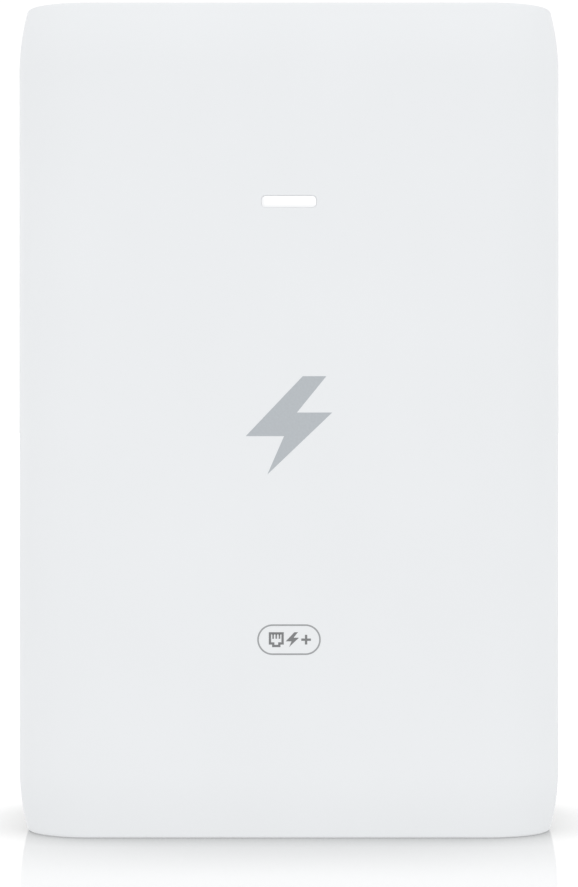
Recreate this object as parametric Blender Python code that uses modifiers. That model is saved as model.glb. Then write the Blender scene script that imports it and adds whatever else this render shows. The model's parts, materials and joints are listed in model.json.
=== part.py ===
"""A wall-mountable power-over-Ethernet injector, as separate pieces.

The injector stands on its port end.  +Z is up, the front faces -Y and the
wall is towards +Y.  The origin is the middle of the bottom rim.  Sizes below
are in millimetres, and MM turns them into Blender's metres.
"""

import math

import bmesh
import bpy
from mathutils import Matrix, Vector

MM = 0.001
GAP = 0.3                       # room left between pieces that meet
THROUGH = 1.0                   # how far a cutter runs past the face it opens

# Case
CASE_WIDTH = 63.0
CASE_HEIGHT = 95.6
FRONT_Y = -17.0
BACK_Y = 16.6
PARTING_Y = 6.0                 # plane where the two covers meet
PARTING_GAP = 0.2
WALL = 2.2
CORNER_RADIUS = 8.7
CROWN_LENGTH = 7.4              # the sides pull in over this length at each end
CROWN_DEPTH = 1.0
RIM_FILLET = 0.35
CORNER_STEPS = 7
CROWN_LEVELS = (0.15, 0.35, 1.8, 3.6, 5.5, 7.4)
LIP_OUTER = 1.3                 # tongue of the rear cover, inside the front cover
LIP_REACH = 1.4
REBATE_OUTER = 1.1
REBATE_REACH = 1.7

# Case screws and the posts that take them
SCREW_X = 25.0
SCREW_HEIGHTS = (29.5, 88.0)
BOSS_RADIUS = 2.6
POST_RADIUS = 3.0
SCREW_HOLE_RADIUS = 1.4
SCREW_SHANK_RADIUS = 1.2
SCREW_HEAD_RADIUS = 2.2
SCREW_HEAD_LENGTH = 1.7
SCREW_LENGTH = 20.0
COUNTERBORE_RADIUS = 2.45
COUNTERBORE_FLOOR_Y = 12.2

# Wall bracket and its rails in the back
RECESS_FLOOR_Y = 13.0
RECESS_INNER_Y = 11.2
RECESS_HALF_WIDTH = 20.3
RECESS_MOUTH_HALF_WIDTH = 17.0
RECESS_TOP_Z = 76.6
RECESS_WALL = 1.7
RAIL_LIP_Y = 15.0               # inner face of the lips that hold the bracket
RAIL_START_Z = 8.0
BRACKET_BACK_Y = 17.0
BRACKET_BOTTOM_Z = 9.0
BRACKET_WINDOW_X = (9.0, 13.5)  # on both sides of the middle
BRACKET_WINDOW_Z = (25.0, 60.0)
TONGUE_SLIT_X = (4.0, 5.0)      # slits on both sides of the spring tongue
TONGUE_Z = (30.0, 52.0)
TONGUE_THICKNESS = 1.8
BRACKET_HOLE_RADIUS = 2.2
BRACKET_HOLE_HEIGHTS = (17.5, 67.5)
COUNTERSINK_RADIUS = 4.2

# Port end
PANEL_OUTER_Z = 0.6
PANEL_THICKNESS = 2.0
PANEL_BACK_Y = RECESS_INNER_Y - GAP
SNAP_X = 14.0
SNAP_HALF_WIDTH = 2.0
SNAP_RIB_FACE_Y = FRONT_Y + 3.7
SNAP_RIB_LOW_Z = PANEL_OUTER_Z + PANEL_THICKNESS + GAP
SNAP_RIB_HIGH_Z = SNAP_RIB_LOW_Z + 1.2

# Main board
BOARD_FRONT_Y = 8.0
BOARD_THICKNESS = 1.6
BOARD_HALF_WIDTH = 28.4
BOARD_LOW_Z = 4.0
BOARD_HIGH_Z = 91.0

# Modular jacks
JACK_WIDTH = 15.6
JACK_DEPTH = 13.4               # front to back
JACK_LENGTH = 21.0              # up into the case
JACK_PITCH = 16.2
JACK_CENTRE_X = 11.0            # middle of the pair
JACK_SHEET = 0.3
JACK_CENTRE_Y = BOARD_FRONT_Y - GAP - JACK_DEPTH / 2
PLUG_HALF_WIDTH = 5.95
PLUG_LOW_Y = -2.6               # from the jack's middle; the latch is on this side
PLUG_HIGH_Y = 4.4
PLUG_LENGTH = 14.4
CONTACT_COUNT = 8
CONTACT_PITCH = 1.02
CONTACT_THICKNESS = 0.36
CONTACT_AXIS_Y = 5.05           # from the jack's middle
CONTACT_AXIS_Z = 1.9            # from the jack's mouth

# Mains inlet
INLET_X = -17.5
INLET_WIDTH = 19.4
INLET_DEPTH = 17.8
INLET_LENGTH = 20.0
INLET_CENTRE_Y = BOARD_FRONT_Y - GAP - INLET_DEPTH / 2
INLET_LOBE_RADIUS = 3.65
INLET_CAVITY = 12.0
INLET_PINS = {"line": (-5.0, 2.5), "neutral": (5.0, 2.5), "earth": (0.0, -2.5)}
INLET_PIN_RADIUS = 1.18
INLET_PIN_START = 3.0
INLET_PIN_END = 22.0

# Status light
LIGHT_Z = 72.73
LIGHT_SLOT = (6.3, 1.38)
LIGHT_SLOT_RADIUS = 0.5
LIGHT_FIT = 0.12
LIGHT_SINK = 0.2                # the lens sits this far behind the front face

FINISHES = {
    # name: (colour, roughness, metallic)
    "white_case": ((0.86, 0.87, 0.88), 0.45, 0.0),
    "white_panel": ((0.80, 0.81, 0.82), 0.50, 0.0),
    "clear_lens": ((0.93, 0.95, 0.96), 0.15, 0.0),
    "black_plastic": ((0.02, 0.02, 0.022), 0.45, 0.0),
    "plated_steel": ((0.62, 0.62, 0.60), 0.28, 1.0),
    "screw_steel": ((0.50, 0.50, 0.52), 0.35, 1.0),
    "gold_plate": ((0.83, 0.62, 0.28), 0.22, 1.0),
    "pin_nickel": ((0.72, 0.71, 0.68), 0.25, 1.0),
    "board_laminate": ((0.02, 0.16, 0.07), 0.40, 0.0),
    "clear_film": ((0.75, 0.72, 0.55), 0.35, 0.0),
    "copper_enamel": ((0.55, 0.20, 0.07), 0.35, 1.0),
    "ferrite": ((0.06, 0.06, 0.065), 0.60, 0.0),
    "yellow_tape": ((0.85, 0.60, 0.08), 0.40, 0.0),
    "blue_epoxy": ((0.05, 0.16, 0.45), 0.35, 0.0),
    "dark_green_epoxy": ((0.03, 0.12, 0.09), 0.45, 0.0),
    "grey_box": ((0.45, 0.47, 0.48), 0.50, 0.0),
    "can_sleeve": ((0.03, 0.035, 0.06), 0.35, 0.0),
    "heat_sink_aluminium": ((0.75, 0.76, 0.77), 0.35, 1.0),
    "grey_silicone": ((0.40, 0.42, 0.45), 0.80, 0.0),
}


# ---------------------------------------------------------------- helpers

def clear_scene():
    for item in list(bpy.data.objects):
        bpy.data.objects.remove(item, do_unlink=True)


def new_collection(name):
    collection = bpy.data.collections.new(name)
    bpy.context.scene.collection.children.link(collection)
    return collection


def make_finish(name):
    """The Principled material of a finish, made once."""
    if name in bpy.data.materials:
        return bpy.data.materials[name]
    colour, roughness, metallic = FINISHES[name]
    material = bpy.data.materials.new(name)
    material.use_nodes = True
    shader = material.node_tree.nodes["Principled BSDF"]
    shader.inputs["Base Color"].default_value = (*colour, 1.0)
    shader.inputs["Roughness"].default_value = roughness
    shader.inputs["Metallic"].default_value = metallic
    material.diffuse_color = (*colour, 1.0)
    return material


def add_box(shape, low, high):
    """A box between two corners; returns its vertices."""
    middle = (Vector(low) + Vector(high)) / 2
    size = Vector(high) - Vector(low)
    matrix = Matrix.Translation(middle) @ Matrix.Diagonal((*size, 1.0))
    return bmesh.ops.create_cube(shape, size=1.0, matrix=matrix)["verts"]


def round_edges(shape, vertices, axis, radius, steps=3):
    """Round a new box's four edges that run along one axis."""
    edges = {edge for vertex in vertices for edge in vertex.link_edges}
    along = []
    for edge in edges:
        run = (edge.verts[1].co - edge.verts[0].co).normalized()
        if abs(run[axis]) > 0.99:
            along.append(edge)
    bmesh.ops.bevel(shape, geom=along, offset=radius, segments=steps,
                    profile=0.5, affect='EDGES')


def add_cylinder(shape, start, end, radius, end_radius=None, sides=20):
    """A cylinder or cone from start to end, which differ along one axis."""
    start, end = Vector(start), Vector(end)
    run = end - start
    turn = Vector((0, 0, 1)).rotation_difference(run).to_matrix().to_4x4()
    matrix = Matrix.Translation((start + end) / 2) @ turn
    tip = radius if end_radius is None else end_radius
    bmesh.ops.create_cone(shape, cap_ends=True, segments=sides, radius1=radius,
                          radius2=tip, depth=run.length, matrix=matrix)


def finish_mesh(name, shape):
    """Turn a shape in millimetres into a mesh in metres."""
    bmesh.ops.scale(shape, vec=(MM, MM, MM), verts=shape.verts)
    bmesh.ops.recalc_face_normals(shape, faces=shape.faces)
    mesh = bpy.data.meshes.new(name)
    shape.to_mesh(mesh)
    shape.free()
    return mesh


def new_part(name, shape, finish, at=(0, 0, 0), parent=None, smooth=None):
    """One sub-part, placed at a point given in millimetres."""
    part = bpy.data.objects.new(name, finish_mesh(name, shape))
    part.data.materials.append(make_finish(finish))
    part.location = Vector(at) * MM
    part.parent = parent
    parts.objects.link(part)
    if smooth:
        part.data.shade_smooth()
        part.data.set_sharp_from_angle(angle=math.radians(smooth))
    return part


def new_cutter(name, shape, at=(0, 0, 0), parent=None):
    cutter = bpy.data.objects.new(name, finish_mesh(name, shape))
    cutter.location = Vector(at) * MM
    cutter.parent = parent
    cutter.hide_render = True
    cutter.display_type = 'WIRE'
    cutters.objects.link(cutter)
    return cutter


def combine(part, operation, cutter):
    """Join a cutter's shape to a part, or take it away."""
    modifier = part.modifiers.new(cutter.name, 'BOOLEAN')
    modifier.operation = operation
    modifier.solver = 'EXACT'
    modifier.object = cutter


def cut_box(part, name, low, high):
    shape = bmesh.new()
    add_box(shape, low, high)
    place_like(new_cutter(f"{part.name}_{name}", shape), part, 'DIFFERENCE')


def cut_rounds(part, name, starts, ends, radius, end_radius=None, sides=20):
    """Take several equal cylinders or cones out of a part."""
    shape = bmesh.new()
    for start, end in zip(starts, ends):
        add_cylinder(shape, start, end, radius, end_radius, sides)
    place_like(new_cutter(f"{part.name}_{name}", shape), part, 'DIFFERENCE')


def join_shape(part, name, shape):
    place_like(new_cutter(f"{part.name}_{name}", shape), part, 'UNION')


def place_like(cutter, part, operation):
    """Give a cutter its part's place, then use it."""
    cutter.location = part.location
    cutter.parent = part.parent
    combine(part, operation, cutter)


def outline_mesh(name, points, thickness):
    """A flat outline in X and Y, thickness across, as a closed mesh."""
    curve = bpy.data.curves.new(name, 'CURVE')
    curve.dimensions = '2D'
    curve.fill_mode = 'BOTH'
    curve.extrude = thickness / 2
    spline = curve.splines.new('POLY')
    spline.points.add(len(points) - 1)
    for spot, (across, up) in zip(spline.points, points):
        spot.co = (across, up, 0.0, 1.0)
    spline.use_cyclic_u = True
    holder = bpy.data.objects.new(name, curve)
    bpy.context.scene.collection.objects.link(holder)
    graph = bpy.context.evaluated_depsgraph_get()
    mesh = bpy.data.meshes.new_from_object(holder.evaluated_get(graph))
    bpy.data.objects.remove(holder, do_unlink=True)
    return mesh


# ---------------------------------------------------------------- case

def crown_inset(depth, fillet):
    """How far the case's side is pulled in, this deep below its nearest end."""
    depth = max(depth, 0.0)
    inset = 0.0
    if depth < CROWN_LENGTH:
        radius = (CROWN_LENGTH ** 2 + CROWN_DEPTH ** 2) / (2 * CROWN_DEPTH)
        inset = radius - math.sqrt(radius ** 2 - (CROWN_LENGTH - depth) ** 2)
    if depth < fillet:
        inset += fillet - math.sqrt(fillet ** 2 - (fillet - depth) ** 2)
    return inset


def slice_shape(shape, axis, value, keep_above):
    """Cut a convex shape flat across and keep one side, closed."""
    normal = [0.0, 0.0, 0.0]
    normal[axis] = 1.0
    place = [0.0, 0.0, 0.0]
    place[axis] = value
    everything = shape.verts[:] + shape.edges[:] + shape.faces[:]
    bmesh.ops.bisect_plane(shape, geom=everything, plane_co=place, plane_no=normal,
                           clear_inner=keep_above, clear_outer=not keep_above)
    open_edges = [edge for edge in shape.edges if edge.is_boundary]
    bmesh.ops.holes_fill(shape, edges=open_edges, sides=0)


def crowned_block(offset, low_z, high_z, low_y=None, high_y=None, fillet=0.0):
    """The case's outer form, moved in by offset and kept between the limits.

    It starts as a box with round upright edges and is then drawn in towards
    both ends of the case.
    """
    half_width = CASE_WIDTH / 2 - offset
    radius = CORNER_RADIUS - offset
    shape = bmesh.new()
    corners = add_box(shape, (-half_width, FRONT_Y + offset, low_z),
                      (half_width, BACK_Y - offset, high_z))
    round_edges(shape, corners, 2, radius, CORNER_STEPS)
    for level in CROWN_LEVELS:
        for height in (level, CASE_HEIGHT - level):
            if low_z < height < high_z:
                everything = shape.verts[:] + shape.edges[:] + shape.faces[:]
                bmesh.ops.bisect_plane(shape, geom=everything, plane_co=(0, 0, height),
                                       plane_no=(0, 0, 1))
    core_x = CASE_WIDTH / 2 - CORNER_RADIUS
    core_front = FRONT_Y + CORNER_RADIUS
    core_back = BACK_Y - CORNER_RADIUS
    for vertex in shape.verts:
        spot = vertex.co
        core = Vector((min(max(spot.x, -core_x), core_x),
                       min(max(spot.y, core_front), core_back), spot.z))
        depth = min(spot.z, CASE_HEIGHT - spot.z)
        vertex.co = spot - (spot - core).normalized() * crown_inset(depth, fillet)
    if low_y is not None:
        slice_shape(shape, 1, low_y, True)
    if high_y is not None:
        slice_shape(shape, 1, high_y, False)
    return shape


def screw_places():
    return [(side * SCREW_X, height) for height in SCREW_HEIGHTS for side in (-1, 1)]


def make_front_cover():
    outer = crowned_block(0.0, 0.0, CASE_HEIGHT, high_y=PARTING_Y, fillet=RIM_FILLET)
    cover = new_part("front_cover", outer, "white_case", smooth=25)
    inner_top = CASE_HEIGHT - WALL
    cavity = crowned_block(WALL, -THROUGH, inner_top, high_y=PARTING_Y + THROUGH)
    combine(cover, 'DIFFERENCE', new_cutter("front_cover_cavity", cavity))
    rebate = crowned_block(REBATE_OUTER, REBATE_OUTER, CASE_HEIGHT - REBATE_OUTER,
                           PARTING_Y - REBATE_REACH, PARTING_Y + THROUGH)
    combine(cover, 'DIFFERENCE', new_cutter("front_cover_rebate", rebate))

    board_side = BOARD_FRONT_Y - GAP
    wall_side = FRONT_Y + WALL - 0.1
    bosses = bmesh.new()
    for x, z in screw_places():
        add_cylinder(bosses, (x, wall_side, z), (x, board_side, z), BOSS_RADIUS, sides=16)
    join_shape(cover, "bosses", bosses)
    pilot_y = board_side - SCREW_LENGTH + 3.0
    cut_rounds(cover, "pilot_holes", [(x, pilot_y, z) for x, z in screw_places()],
               [(x, board_side + THROUGH, z) for x, z in screw_places()],
               SCREW_HOLE_RADIUS, sides=12)

    ribs = bmesh.new()
    for side in (-1, 1):
        add_box(ribs, (side * SNAP_X - SNAP_HALF_WIDTH - 0.5, FRONT_Y + 1.5, SNAP_RIB_LOW_Z),
                (side * SNAP_X + SNAP_HALF_WIDTH + 0.5, SNAP_RIB_FACE_Y, SNAP_RIB_HIGH_Z))
    join_shape(cover, "snap_ribs", ribs)

    slot = bmesh.new()
    width, height = LIGHT_SLOT
    corners = add_box(slot, (-width / 2, FRONT_Y - THROUGH, LIGHT_Z - height / 2),
                      (width / 2, FRONT_Y + WALL + THROUGH, LIGHT_Z + height / 2))
    round_edges(slot, corners, 1, LIGHT_SLOT_RADIUS)
    combine(cover, 'DIFFERENCE', new_cutter("front_cover_light_slot", slot))


def make_rear_cover():
    outer = crowned_block(0.0, 0.0, CASE_HEIGHT, low_y=PARTING_Y + PARTING_GAP,
                          fillet=RIM_FILLET)
    cover = new_part("rear_cover", outer, "white_case", smooth=25)
    lip = crowned_block(LIP_OUTER, LIP_OUTER, CASE_HEIGHT - LIP_OUTER,
                        PARTING_Y - LIP_REACH, PARTING_Y + 2.0)
    join_shape(cover, "lip", lip)
    cavity = crowned_block(WALL, -THROUGH, CASE_HEIGHT - WALL, PARTING_Y - 2 * THROUGH,
                           BACK_Y - WALL)
    combine(cover, 'DIFFERENCE', new_cutter("rear_cover_cavity", cavity))

    housing = bmesh.new()
    outside = RECESS_HALF_WIDTH + RECESS_WALL
    add_box(housing, (-outside, RECESS_INNER_Y, 0.3),
            (outside, BACK_Y - 0.9, RECESS_TOP_Z + RECESS_WALL))
    join_shape(cover, "recess_housing", housing)
    sill = crowned_block(1.1, 0.2, PANEL_OUTER_Z + PANEL_THICKNESS, low_y=RECESS_INNER_Y)
    join_shape(cover, "sill", sill)
    posts = bmesh.new()
    for x, z in screw_places():
        add_cylinder(posts, (x, BOARD_FRONT_Y + BOARD_THICKNESS + GAP, z),
                     (x, BACK_Y - WALL + 0.2, z), POST_RADIUS, sides=16)
    join_shape(cover, "posts", posts)

    cut_box(cover, "rail_slot", (-RECESS_HALF_WIDTH, RECESS_FLOOR_Y, -THROUGH),
            (RECESS_HALF_WIDTH, RAIL_LIP_Y, RECESS_TOP_Z))
    cut_box(cover, "rail_mouth", (-RECESS_MOUTH_HALF_WIDTH, RAIL_LIP_Y - 0.5, -THROUGH),
            (RECESS_MOUTH_HALF_WIDTH, BACK_Y + THROUGH, RECESS_TOP_Z))
    cut_box(cover, "rail_lead_in", (-RECESS_HALF_WIDTH, RAIL_LIP_Y - 0.7, -2 * THROUGH),
            (RECESS_HALF_WIDTH, BACK_Y + THROUGH, RAIL_START_Z))
    cut_rounds(cover, "screw_holes",
               [(x, PARTING_Y + 2.0, z) for x, z in screw_places()],
               [(x, COUNTERBORE_FLOOR_Y + 0.5, z) for x, z in screw_places()],
               SCREW_HOLE_RADIUS, sides=12)
    cut_rounds(cover, "counterbores",
               [(x, COUNTERBORE_FLOOR_Y, z) for x, z in screw_places()],
               [(x, BACK_Y + THROUGH, z) for x, z in screw_places()],
               COUNTERBORE_RADIUS, sides=16)


def make_case_screws():
    """Pan-head screws with a cross recess, driven in from the back."""
    for number, (x, z) in enumerate(screw_places(), start=1):
        shape = bmesh.new()
        add_cylinder(shape, (0, 0, 0), (0, SCREW_HEAD_LENGTH, 0), SCREW_HEAD_RADIUS,
                     SCREW_HEAD_RADIUS * 0.82, sides=16)
        screw = new_part(f"case_screw_{number}", shape, "screw_steel",
                         at=(x, COUNTERBORE_FLOOR_Y + 0.1, z), smooth=30)
        shank = bmesh.new()
        add_cylinder(shank, (0, 0.3, 0), (0, -SCREW_LENGTH + 2, 0), SCREW_SHANK_RADIUS,
                     SCREW_SHANK_RADIUS, sides=10)
        join_shape(screw, "shank", shank)
        tip = bmesh.new()
        add_cylinder(tip, (0, -SCREW_LENGTH + 2.2, 0), (0, -SCREW_LENGTH, 0),
                     SCREW_SHANK_RADIUS * 0.96, 0.4, sides=10)
        join_shape(screw, "tip", tip)
        for turn, (half_x, half_z) in enumerate(((1.2, 0.3), (0.3, 1.2))):
            cut_box(screw, f"cross_{turn}", (-half_x, 0.8, -half_z), (half_x, 2.4, half_z))


def make_port_panel():
    """End plate round the sockets, with two snap hooks behind the front wall."""
    shape = crowned_block(WALL + GAP, PANEL_OUTER_Z, PANEL_OUTER_Z + PANEL_THICKNESS,
                          high_y=PANEL_BACK_Y)
    panel = new_part("port_panel", shape, "white_panel", smooth=25)
    top = PANEL_OUTER_Z + PANEL_THICKNESS
    jack_half = (JACK_PITCH + JACK_WIDTH) / 2 + GAP
    cut_box(panel, "jack_window",
            (JACK_CENTRE_X - jack_half, JACK_CENTRE_Y - JACK_DEPTH / 2 - GAP, -THROUGH),
            (JACK_CENTRE_X + jack_half, JACK_CENTRE_Y + JACK_DEPTH / 2 + GAP, top + THROUGH))
    inlet_half = INLET_WIDTH / 2 + GAP
    cut_box(panel, "inlet_window",
            (INLET_X - inlet_half, INLET_CENTRE_Y - INLET_DEPTH / 2 - GAP, -THROUGH),
            (INLET_X + inlet_half, INLET_CENTRE_Y + INLET_DEPTH / 2 + GAP, top + THROUGH))
    hook_face = SNAP_RIB_FACE_Y + GAP
    barb_z = SNAP_RIB_HIGH_Z + GAP
    for number, side in enumerate((-1, 1), start=1):
        left = side * SNAP_X - SNAP_HALF_WIDTH
        right = side * SNAP_X + SNAP_HALF_WIDTH
        hook = bmesh.new()
        add_box(hook, (left, hook_face, top - 0.5), (right, hook_face + 1.0, barb_z + 1.0))
        join_shape(panel, f"hook_{number}", hook)
        barb = bmesh.new()
        add_box(barb, (left, SNAP_RIB_FACE_Y - 0.8, barb_z),
                (right, hook_face + 0.5, barb_z + 1.0))
        join_shape(panel, f"barb_{number}", barb)


def make_light_pipe():
    """Lens in the front slot, a flange behind the wall and a stem to the board."""
    width = LIGHT_SLOT[0] / 2 - LIGHT_FIT
    height = LIGHT_SLOT[1] / 2 - LIGHT_FIT
    inner_wall = FRONT_Y + WALL + GAP
    shape = bmesh.new()
    corners = add_box(shape, (-width, FRONT_Y + LIGHT_SINK, -height),
                      (width, inner_wall + 0.5, height))
    round_edges(shape, corners, 1, LIGHT_SLOT_RADIUS - LIGHT_FIT)
    pipe = new_part("light_pipe", shape, "clear_lens", at=(0, 0, LIGHT_Z), smooth=30)
    flange = bmesh.new()
    add_box(flange, (-width - 1.2, inner_wall, -height - 1.2),
            (width + 1.2, inner_wall + 1.0, height + 1.2))
    join_shape(pipe, "flange", flange)
    stem = bmesh.new()
    add_box(stem, (-2.0, inner_wall + 0.5, -0.9), (2.0, BOARD_FRONT_Y - 1.8, 0.9))
    join_shape(pipe, "stem", stem)


def make_wall_bracket():
    """Slide-on plate: wide flanges run under the rail lips, the pad meets the wall."""
    top = RECESS_TOP_Z - GAP
    height = top - BRACKET_BOTTOM_Z
    flange_half = RECESS_HALF_WIDTH - GAP
    pad_half = RECESS_MOUTH_HALF_WIDTH - GAP
    front = RECESS_FLOOR_Y + GAP
    shape = bmesh.new()
    corners = add_box(shape, (-flange_half, front, -height),
                      (flange_half, RAIL_LIP_Y - GAP, 0))
    round_edges(shape, corners, 1, 2.0)
    bracket = new_part("wall_bracket", shape, "white_case", at=(0, 0, top), smooth=30)
    pad = bmesh.new()
    corners = add_box(pad, (-pad_half, front + 0.4, -height + 1.5),
                      (pad_half, BRACKET_BACK_Y, 0))
    round_edges(pad, corners, 1, 1.5)
    join_shape(bracket, "pad", pad)
    holes = [height_z - top for height_z in BRACKET_HOLE_HEIGHTS]
    cut_rounds(bracket, "wall_screw_holes", [(0, front - THROUGH, z) for z in holes],
               [(0, BRACKET_BACK_Y + THROUGH, z) for z in holes], BRACKET_HOLE_RADIUS)
    cut_rounds(bracket, "countersinks", [(0, front - 0.01, z) for z in holes],
               [(0, front + COUNTERSINK_RADIUS - BRACKET_HOLE_RADIUS, z) for z in holes],
               COUNTERSINK_RADIUS, BRACKET_HOLE_RADIUS - 0.01)
    window_low, window_high = (height_z - top for height_z in BRACKET_WINDOW_Z)
    for number, side in enumerate((-1, 1), start=1):
        left, right = sorted(side * x for x in BRACKET_WINDOW_X)
        cut_box(bracket, f"window_{number}", (left, front - THROUGH, window_low),
                (right, BRACKET_BACK_Y + THROUGH, window_high))
    tongue_low, tongue_high = (height_z - top for height_z in TONGUE_Z)
    slit_middle = sum(TONGUE_SLIT_X) / 2
    for number, side in enumerate((-1, 1), start=1):
        left, right = sorted(side * x for x in TONGUE_SLIT_X)
        cut_box(bracket, f"tongue_side_{number}", (left, front - THROUGH, tongue_low),
                (right, BRACKET_BACK_Y + THROUGH, tongue_high))
    cut_box(bracket, "tongue_end", (-slit_middle, front - 2 * THROUGH, tongue_low - 1.0),
            (slit_middle, BRACKET_BACK_Y + 2 * THROUGH, tongue_low + 0.01))
    cut_box(bracket, "tongue_relief", (-slit_middle, front + TONGUE_THICKNESS, tongue_low),
            (slit_middle, BRACKET_BACK_Y + 3 * THROUGH, tongue_high - 2.0))


# ---------------------------------------------------------------- sockets

def make_jack(prefix, centre_x):
    """Shielded eight-contact jack, mouth down, latch side to the front."""
    place = (centre_x, JACK_CENTRE_Y, PANEL_OUTER_Z)
    half_x = JACK_WIDTH / 2
    half_y = JACK_DEPTH / 2
    inner_x = half_x - JACK_SHEET
    inner_y = half_y - JACK_SHEET

    shape = bmesh.new()
    add_box(shape, (-half_x, -half_y, 0), (half_x, half_y, JACK_LENGTH))
    shield = new_part(f"{prefix}_jack_shield", shape, "plated_steel", at=place)
    cut_box(shield, "hollow", (-inner_x, -inner_y, JACK_SHEET),
            (inner_x, inner_y, JACK_LENGTH - JACK_SHEET))
    cut_box(shield, "window", (-PLUG_HALF_WIDTH - 0.4, PLUG_LOW_Y - 2.7, -THROUGH),
            (PLUG_HALF_WIDTH + 0.4, PLUG_HIGH_Y + 0.4, JACK_SHEET + 0.1))

    fit = 0.15
    shape = bmesh.new()
    add_box(shape, (-inner_x + fit, -inner_y + fit, JACK_SHEET + fit),
            (inner_x - fit, inner_y - fit, JACK_LENGTH - JACK_SHEET - fit))
    insert = new_part(f"{prefix}_jack_insert", shape, "black_plastic", at=place)
    cut_box(insert, "plug_space", (-PLUG_HALF_WIDTH, PLUG_LOW_Y, -THROUGH),
            (PLUG_HALF_WIDTH, PLUG_HIGH_Y, PLUG_LENGTH))
    cut_box(insert, "latch_step", (-3.2, PLUG_LOW_Y - 1.2, -2 * THROUGH),
            (3.2, PLUG_LOW_Y + 0.1, PLUG_LENGTH - 1.0))
    cut_box(insert, "latch_groove", (-2.0, PLUG_LOW_Y - 2.4, -3 * THROUGH),
            (2.0, PLUG_LOW_Y - 1.1, PLUG_LENGTH - 2.0))
    cut_box(insert, "contact_pocket", (-4.9, PLUG_HIGH_Y - 0.1, CONTACT_AXIS_Z - 0.85),
            (4.9, PLUG_HIGH_Y + 1.25, PLUG_LENGTH - 0.8))

    make_contacts(prefix, Vector(place) + Vector((0, CONTACT_AXIS_Y, CONTACT_AXIS_Z)))


def contact_outline():
    """Side view of one spring contact: along the jack, then away from the wall."""
    route = [Vector((0.0, 0.0)), Vector((1.3, -0.35)), Vector((7.6, -2.35)),
             Vector((8.7, -2.2))]
    half = Vector((0.0, CONTACT_THICKNESS / 2))
    near = [point + half for point in route]
    far = [point - half for point in reversed(route)]
    return [(point.x * MM, point.y * MM) for point in near + far]


def make_contacts(prefix, hinge):
    """Eight spring contacts in one moulded bar, which turns on its own middle."""
    bar = bmesh.new()
    add_box(bar, (-4.5, -0.3, -0.5), (4.5, 0.3, 0.5))
    contacts = new_part(f"{prefix}_jack_contacts", bar, "gold_plate", at=hinge)
    blade = outline_mesh("contact_blade", contact_outline(), CONTACT_THICKNESS * MM)
    blades = bmesh.new()
    for number in range(CONTACT_COUNT):
        across = (number - (CONTACT_COUNT - 1) / 2) * CONTACT_PITCH * MM
        one = bmesh.new()
        one.from_mesh(blade)
        bmesh.ops.remove_doubles(one, verts=one.verts, dist=0.001 * MM)
        upright = Matrix(((0, 0, 1), (0, 1, 0), (1, 0, 0))).to_4x4()
        one.transform(Matrix.Translation((across, 0, 0)) @ upright)
        one.transform(Matrix.Scale(1 / MM, 4))
        step = bpy.data.meshes.new("contact_step")
        one.to_mesh(step)
        one.free()
        blades.from_mesh(step)
        bpy.data.meshes.remove(step)
    bpy.data.meshes.remove(blade)
    join_shape(contacts, "blades", blades)


def make_inlet():
    """Three-pin mains inlet with a clover-leaf well."""
    place = (INLET_X, INLET_CENTRE_Y, PANEL_OUTER_Z)
    shape = bmesh.new()
    corners = add_box(shape, (-INLET_WIDTH / 2, -INLET_DEPTH / 2, 0),
                      (INLET_WIDTH / 2, INLET_DEPTH / 2, INLET_LENGTH))
    round_edges(shape, corners, 2, 1.5)
    body = new_part("inlet_body", shape, "black_plastic", at=place, smooth=30)
    for pin, (x, y) in INLET_PINS.items():
        cut_rounds(body, f"{pin}_lobe", [(x, y, -THROUGH)], [(x, y, INLET_CAVITY)],
                   INLET_LOBE_RADIUS, sides=24)
        cut_rounds(body, f"{pin}_hole", [(x, y, INLET_CAVITY - THROUGH)],
                   [(x, y, INLET_LENGTH + THROUGH)], INLET_PIN_RADIUS + 0.15, sides=12)
    cut_box(body, "well_middle", (-4.0, -2.0, -2 * THROUGH), (4.0, 5.0, INLET_CAVITY + 0.05))
    for pin, (x, y) in INLET_PINS.items():
        shape = bmesh.new()
        add_cylinder(shape, (0, 0, 1.0), (0, 0, INLET_PIN_END - INLET_PIN_START),
                     INLET_PIN_RADIUS, sides=16)
        blade = new_part(f"inlet_pin_{pin}", shape, "pin_nickel", smooth=40,
                         at=Vector(place) + Vector((x, y, INLET_PIN_START)))
        tip = bmesh.new()
        add_cylinder(tip, (0, 0, 0), (0, 0, 1.2), 0.55, INLET_PIN_RADIUS * 0.98, sides=16)
        join_shape(blade, "tip", tip)


# ---------------------------------------------------------------- board

def make_board():
    shape = bmesh.new()
    corners = add_box(shape, (-BOARD_HALF_WIDTH, BOARD_FRONT_Y, BOARD_LOW_Z),
                      (BOARD_HALF_WIDTH, BOARD_FRONT_Y + BOARD_THICKNESS, BOARD_HIGH_Z))
    round_edges(shape, corners, 1, 1.5)
    board = new_part("main_board", shape, "board_laminate")
    back = BOARD_FRONT_Y + BOARD_THICKNESS
    cut_rounds(board, "screw_holes",
               [(x, BOARD_FRONT_Y - THROUGH, z) for x, z in screw_places()],
               [(x, back + THROUGH, z) for x, z in screw_places()], 1.7, sides=12)
    cut_box(board, "isolation_slot", (1.6, BOARD_FRONT_Y - THROUGH, 32.0),
            (2.8, back + THROUGH, 44.0))


def make_insulation_sheet():
    shape = bmesh.new()
    behind = BOARD_FRONT_Y + BOARD_THICKNESS + 0.5
    add_box(shape, (-21.0, behind, 5.0), (21.0, behind + 0.3, 89.0))
    new_part("insulation_sheet", shape, "clear_film")


def board_part(name, shape, finish, at, smooth=None):
    """A part that stands on the board: local Z points away from the board."""
    return new_part(name, shape, finish, (*at, 0), board_face, smooth)


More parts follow.
